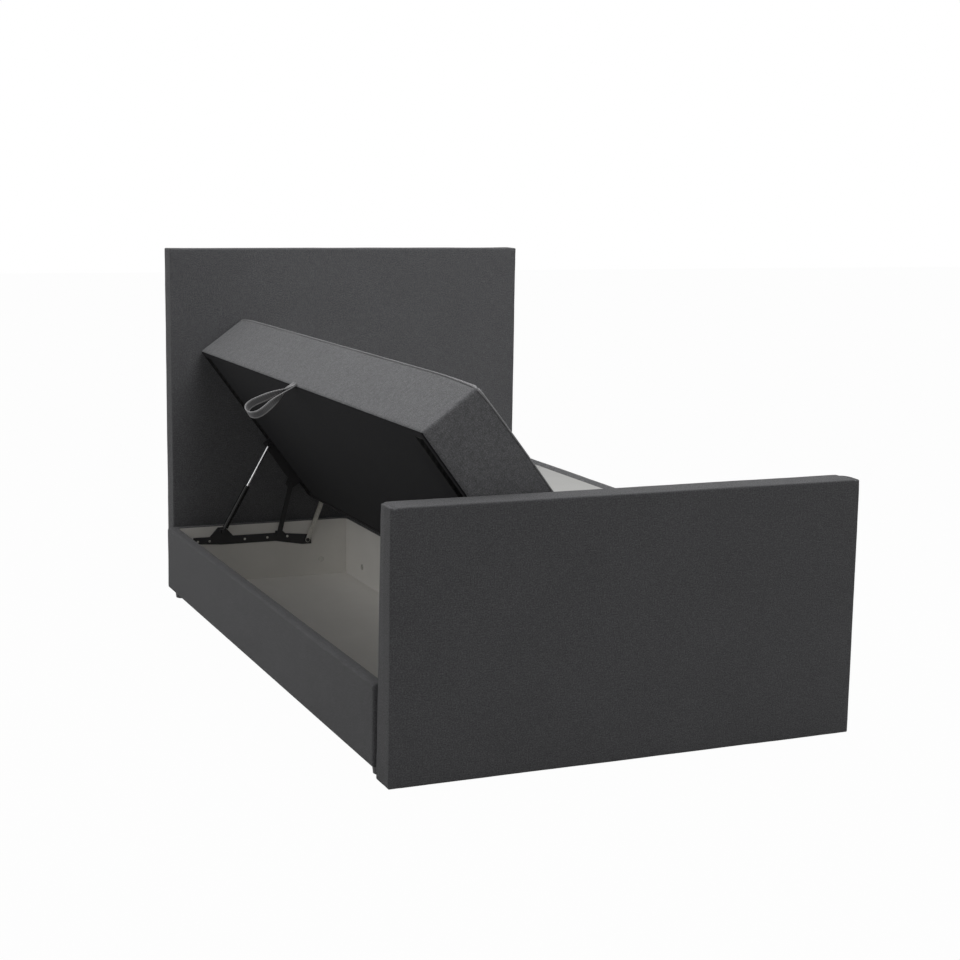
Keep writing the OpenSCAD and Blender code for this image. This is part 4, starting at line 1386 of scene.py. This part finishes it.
def lid_lining(side):
    lining = stretched_panel(f"{side}_lid_lining", under_low, under_high,
                             under_high.z - LINING_DROP, LINING_CROWN, LINING_THICK,
                             black_lining)
    place_on_lid(lining, side)
    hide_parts(f"{side}_lid_underside")
    print_faces(lining)


for side in SIDES:
    lid_top(side)
for side in SIDES:
    lid_lining(side)

# %% [markdown]
# ## Spring pockets
#
# Inside a lid stand rows of coil springs, each sewn into its own white pocket. The pockets hide
# the coils, so a pocket is modelled: a short cylinder that bulges at its middle. One is made and
# copied in rows, with few faces, because there are hundreds of them.

# %% Spring pockets
POCKETS_ACROSS = 9
POCKETS_ALONG = 28
POCKET_GAP = 1 * MM
POCKET_SEAM = 6 * MM
POCKET_CUTS = (0.12, 0.5, 0.88)
POCKET_END = 0.86


def spring_pockets(side):
    pitch_x = (spring_high.x - spring_low.x) / POCKETS_ACROSS
    pitch_y = (spring_high.y - spring_low.y) / POCKETS_ALONG
    height = spring_high.z - spring_low.z
    middle = Vector((spring_low.x + pitch_x / 2, spring_low.y + pitch_y / 2,
                     (spring_low.z + spring_high.z) / 2))
    select_none()
    bpy.ops.mesh.primitive_cylinder_add(vertices=12, radius=pitch_x / 2 - POCKET_GAP,
                                        depth=height, location=middle)
    pockets = name_new(f"{side}_lid_spring_pockets")
    settle()
    edit_faces(pockets, lambda centre, normal: abs(normal.z) > 0.9)
    bpy.ops.mesh.inset(thickness=POCKET_SEAM, depth=0)
    leave_edit()
    cut_across(pockets, 2, [spring_low.z + height * share for share in POCKET_CUTS])
    for point in pockets.data.vertices:
        if abs(point.co.z - (spring_low.z + spring_high.z) / 2) > 0.45 * height:
            point.co.x = middle.x + (point.co.x - middle.x) * POCKET_END
            point.co.y = middle.y + (point.co.y - middle.y) * POCKET_END
    apply_modifier(pockets, "ARRAY", count=POCKETS_ACROSS, use_relative_offset=False,
                   use_constant_offset=True, constant_offset_displace=(pitch_x, 0, 0))
    apply_modifier(pockets, "ARRAY", count=POCKETS_ALONG, use_relative_offset=False,
                   use_constant_offset=True, constant_offset_displace=(0, pitch_y, 0))
    lay_cloth(pockets, pocket_cloth)
    smooth_shade(pockets, degrees=50)
    place_on_lid(pockets, side)
    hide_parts(f"{side}_lid_springs")
    print_faces(pockets)


for side in SIDES:
    spring_pockets(side)

# %% [markdown]
# ## Headboard lining
#
# The back of the headboard is closed by the same black lining, stapled round its edge. It stands
# upright, so the stretched panel is made lying down and turned up into its place.

# %% Headboard lining
HEAD_LINING_CROWN = -1 * MM
HEAD_LINING_IN = 0.2 * MM


def headboard_lining():
    width = back_high.x - back_low.x
    tall = back_high.z - back_low.z
    low = Vector((-width / 2, -tall / 2, 0))
    high = Vector((width / 2, tall / 2, 0))
    lining = stretched_panel("headboard_lining", low, high, 0, HEAD_LINING_CROWN,
                             LINING_THICK, black_lining)
    turn_up = Matrix.Rotation(math.radians(90), 4, "X")
    turn_round = Matrix.Rotation(math.radians(180), 4, "Z")
    place = Matrix.Translation((0, back_high.y - HEAD_LINING_IN, (back_low.z + back_high.z) / 2))
    move_mesh(lining, place @ turn_round @ turn_up)
    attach(lining, "bed")
    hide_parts("headboard_back")
    print_faces(lining)


headboard_lining()

# %% [markdown]
# ## Pull straps
#
# Each lid is lifted by a loop of webbing that is folded and sewn to its side. Flat webbing is
# lost in a simulation, so it is made directly: a long flat grid is laid along the loop's middle
# line, twisted as it goes, and thickened. The UV map that the grid starts with runs along and
# across the webbing, which puts the woven edges in the right place. The left loop hangs under an
# open lid.

# %% Pull straps
STRAP_WIDTH = 28 * MM
STRAP_THICK = 2.4 * MM
STRAP_LENGTH = 150 * MM
STRAP_TAB = 7 * MM
TAB_SHARE = 1.0
STRAP_PLACE_Y = middle_y - 26 * MM
STRAP_TOP_Z = lid_low.z + 2 * MM
FOLD_GAP = 0.5 * MM
STRAPS = {
    "left": {"opening": 24 * MM, "twist": math.radians(60), "lean": 0.12},
    "right": {"opening": 10 * MM, "twist": 0.0, "lean": 0.13},
}
LOOP_PEAK = 4 / (3 * math.sqrt(3))
FOLD = (STRAP_THICK + FOLD_GAP / 2) / 2


def loop_point(s, opening):
    """The webbing's middle line, as (offset, depth below the tab), for s from 0 to 1."""
    wave = math.sin(2 * math.pi * s) * math.sin(math.pi * s) / LOOP_PEAK
    return Vector((opening * wave + FOLD * math.cos(math.pi * s),
                   STRAP_LENGTH * math.sin(math.pi * s)))


def webbing_point(s, across_share, opening, twist, lean):
    """A point of the closed lid's loop, on the right, at s along and a share across."""
    if s < 0:
        point = Vector((loop_point(0, opening).x, STRAP_TAB * s))
    elif s > 1:
        point = Vector((loop_point(1, opening).x, STRAP_TAB * (1 - s)))
    else:
        point = loop_point(s, opening)
    ease = limited(point.y / (0.6 * STRAP_LENGTH))
    turn = twist * ease * ease * (3 - 2 * ease)
    out = (lid_high.x + FOLD_GAP / 2 + STRAP_THICK / 2 + FOLD + max(point.y, 0) * lean)
    sideways = across_share * STRAP_WIDTH / 2
    return Vector((out + point.x * math.cos(turn) + sideways * math.sin(turn),
                   STRAP_PLACE_Y + point.x * math.sin(turn) - sideways * math.cos(turn),
                   STRAP_TOP_Z - point.y))


def pull_strap(side):
    select_none()
    bpy.ops.mesh.primitive_grid_add(x_subdivisions=110, y_subdivisions=8, size=2,
                                    calc_uvs=True)
    strap = name_new(f"{side}_strap_webbing")
    for point in strap.data.vertices:
        s = 0.5 + point.co.x * (0.5 + TAB_SHARE)
        point.co = webbing_point(s, point.co.y, **STRAPS[side])
    strap.data.update()
    apply_modifier(strap, "SOLIDIFY", thickness=STRAP_THICK, offset=0, use_even_offset=True)
    face_outwards(strap)
    strap.data.materials.clear()
    strap.data.materials.append(webbing)
    smooth_shade(strap, degrees=50)
    place_on_lid(strap, side)
    strap.data.update()
    if side == "left":
        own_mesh(strap)
    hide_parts(f"{side}_pull_strap")
    print_faces(strap)


for side in SIDES:
    pull_strap(side)

# %% [markdown]
# ## Closing
#
# The dressed bed may stand a little proud of the CAD box, but not more.

# %% Finish
bpy.context.view_layer.update()
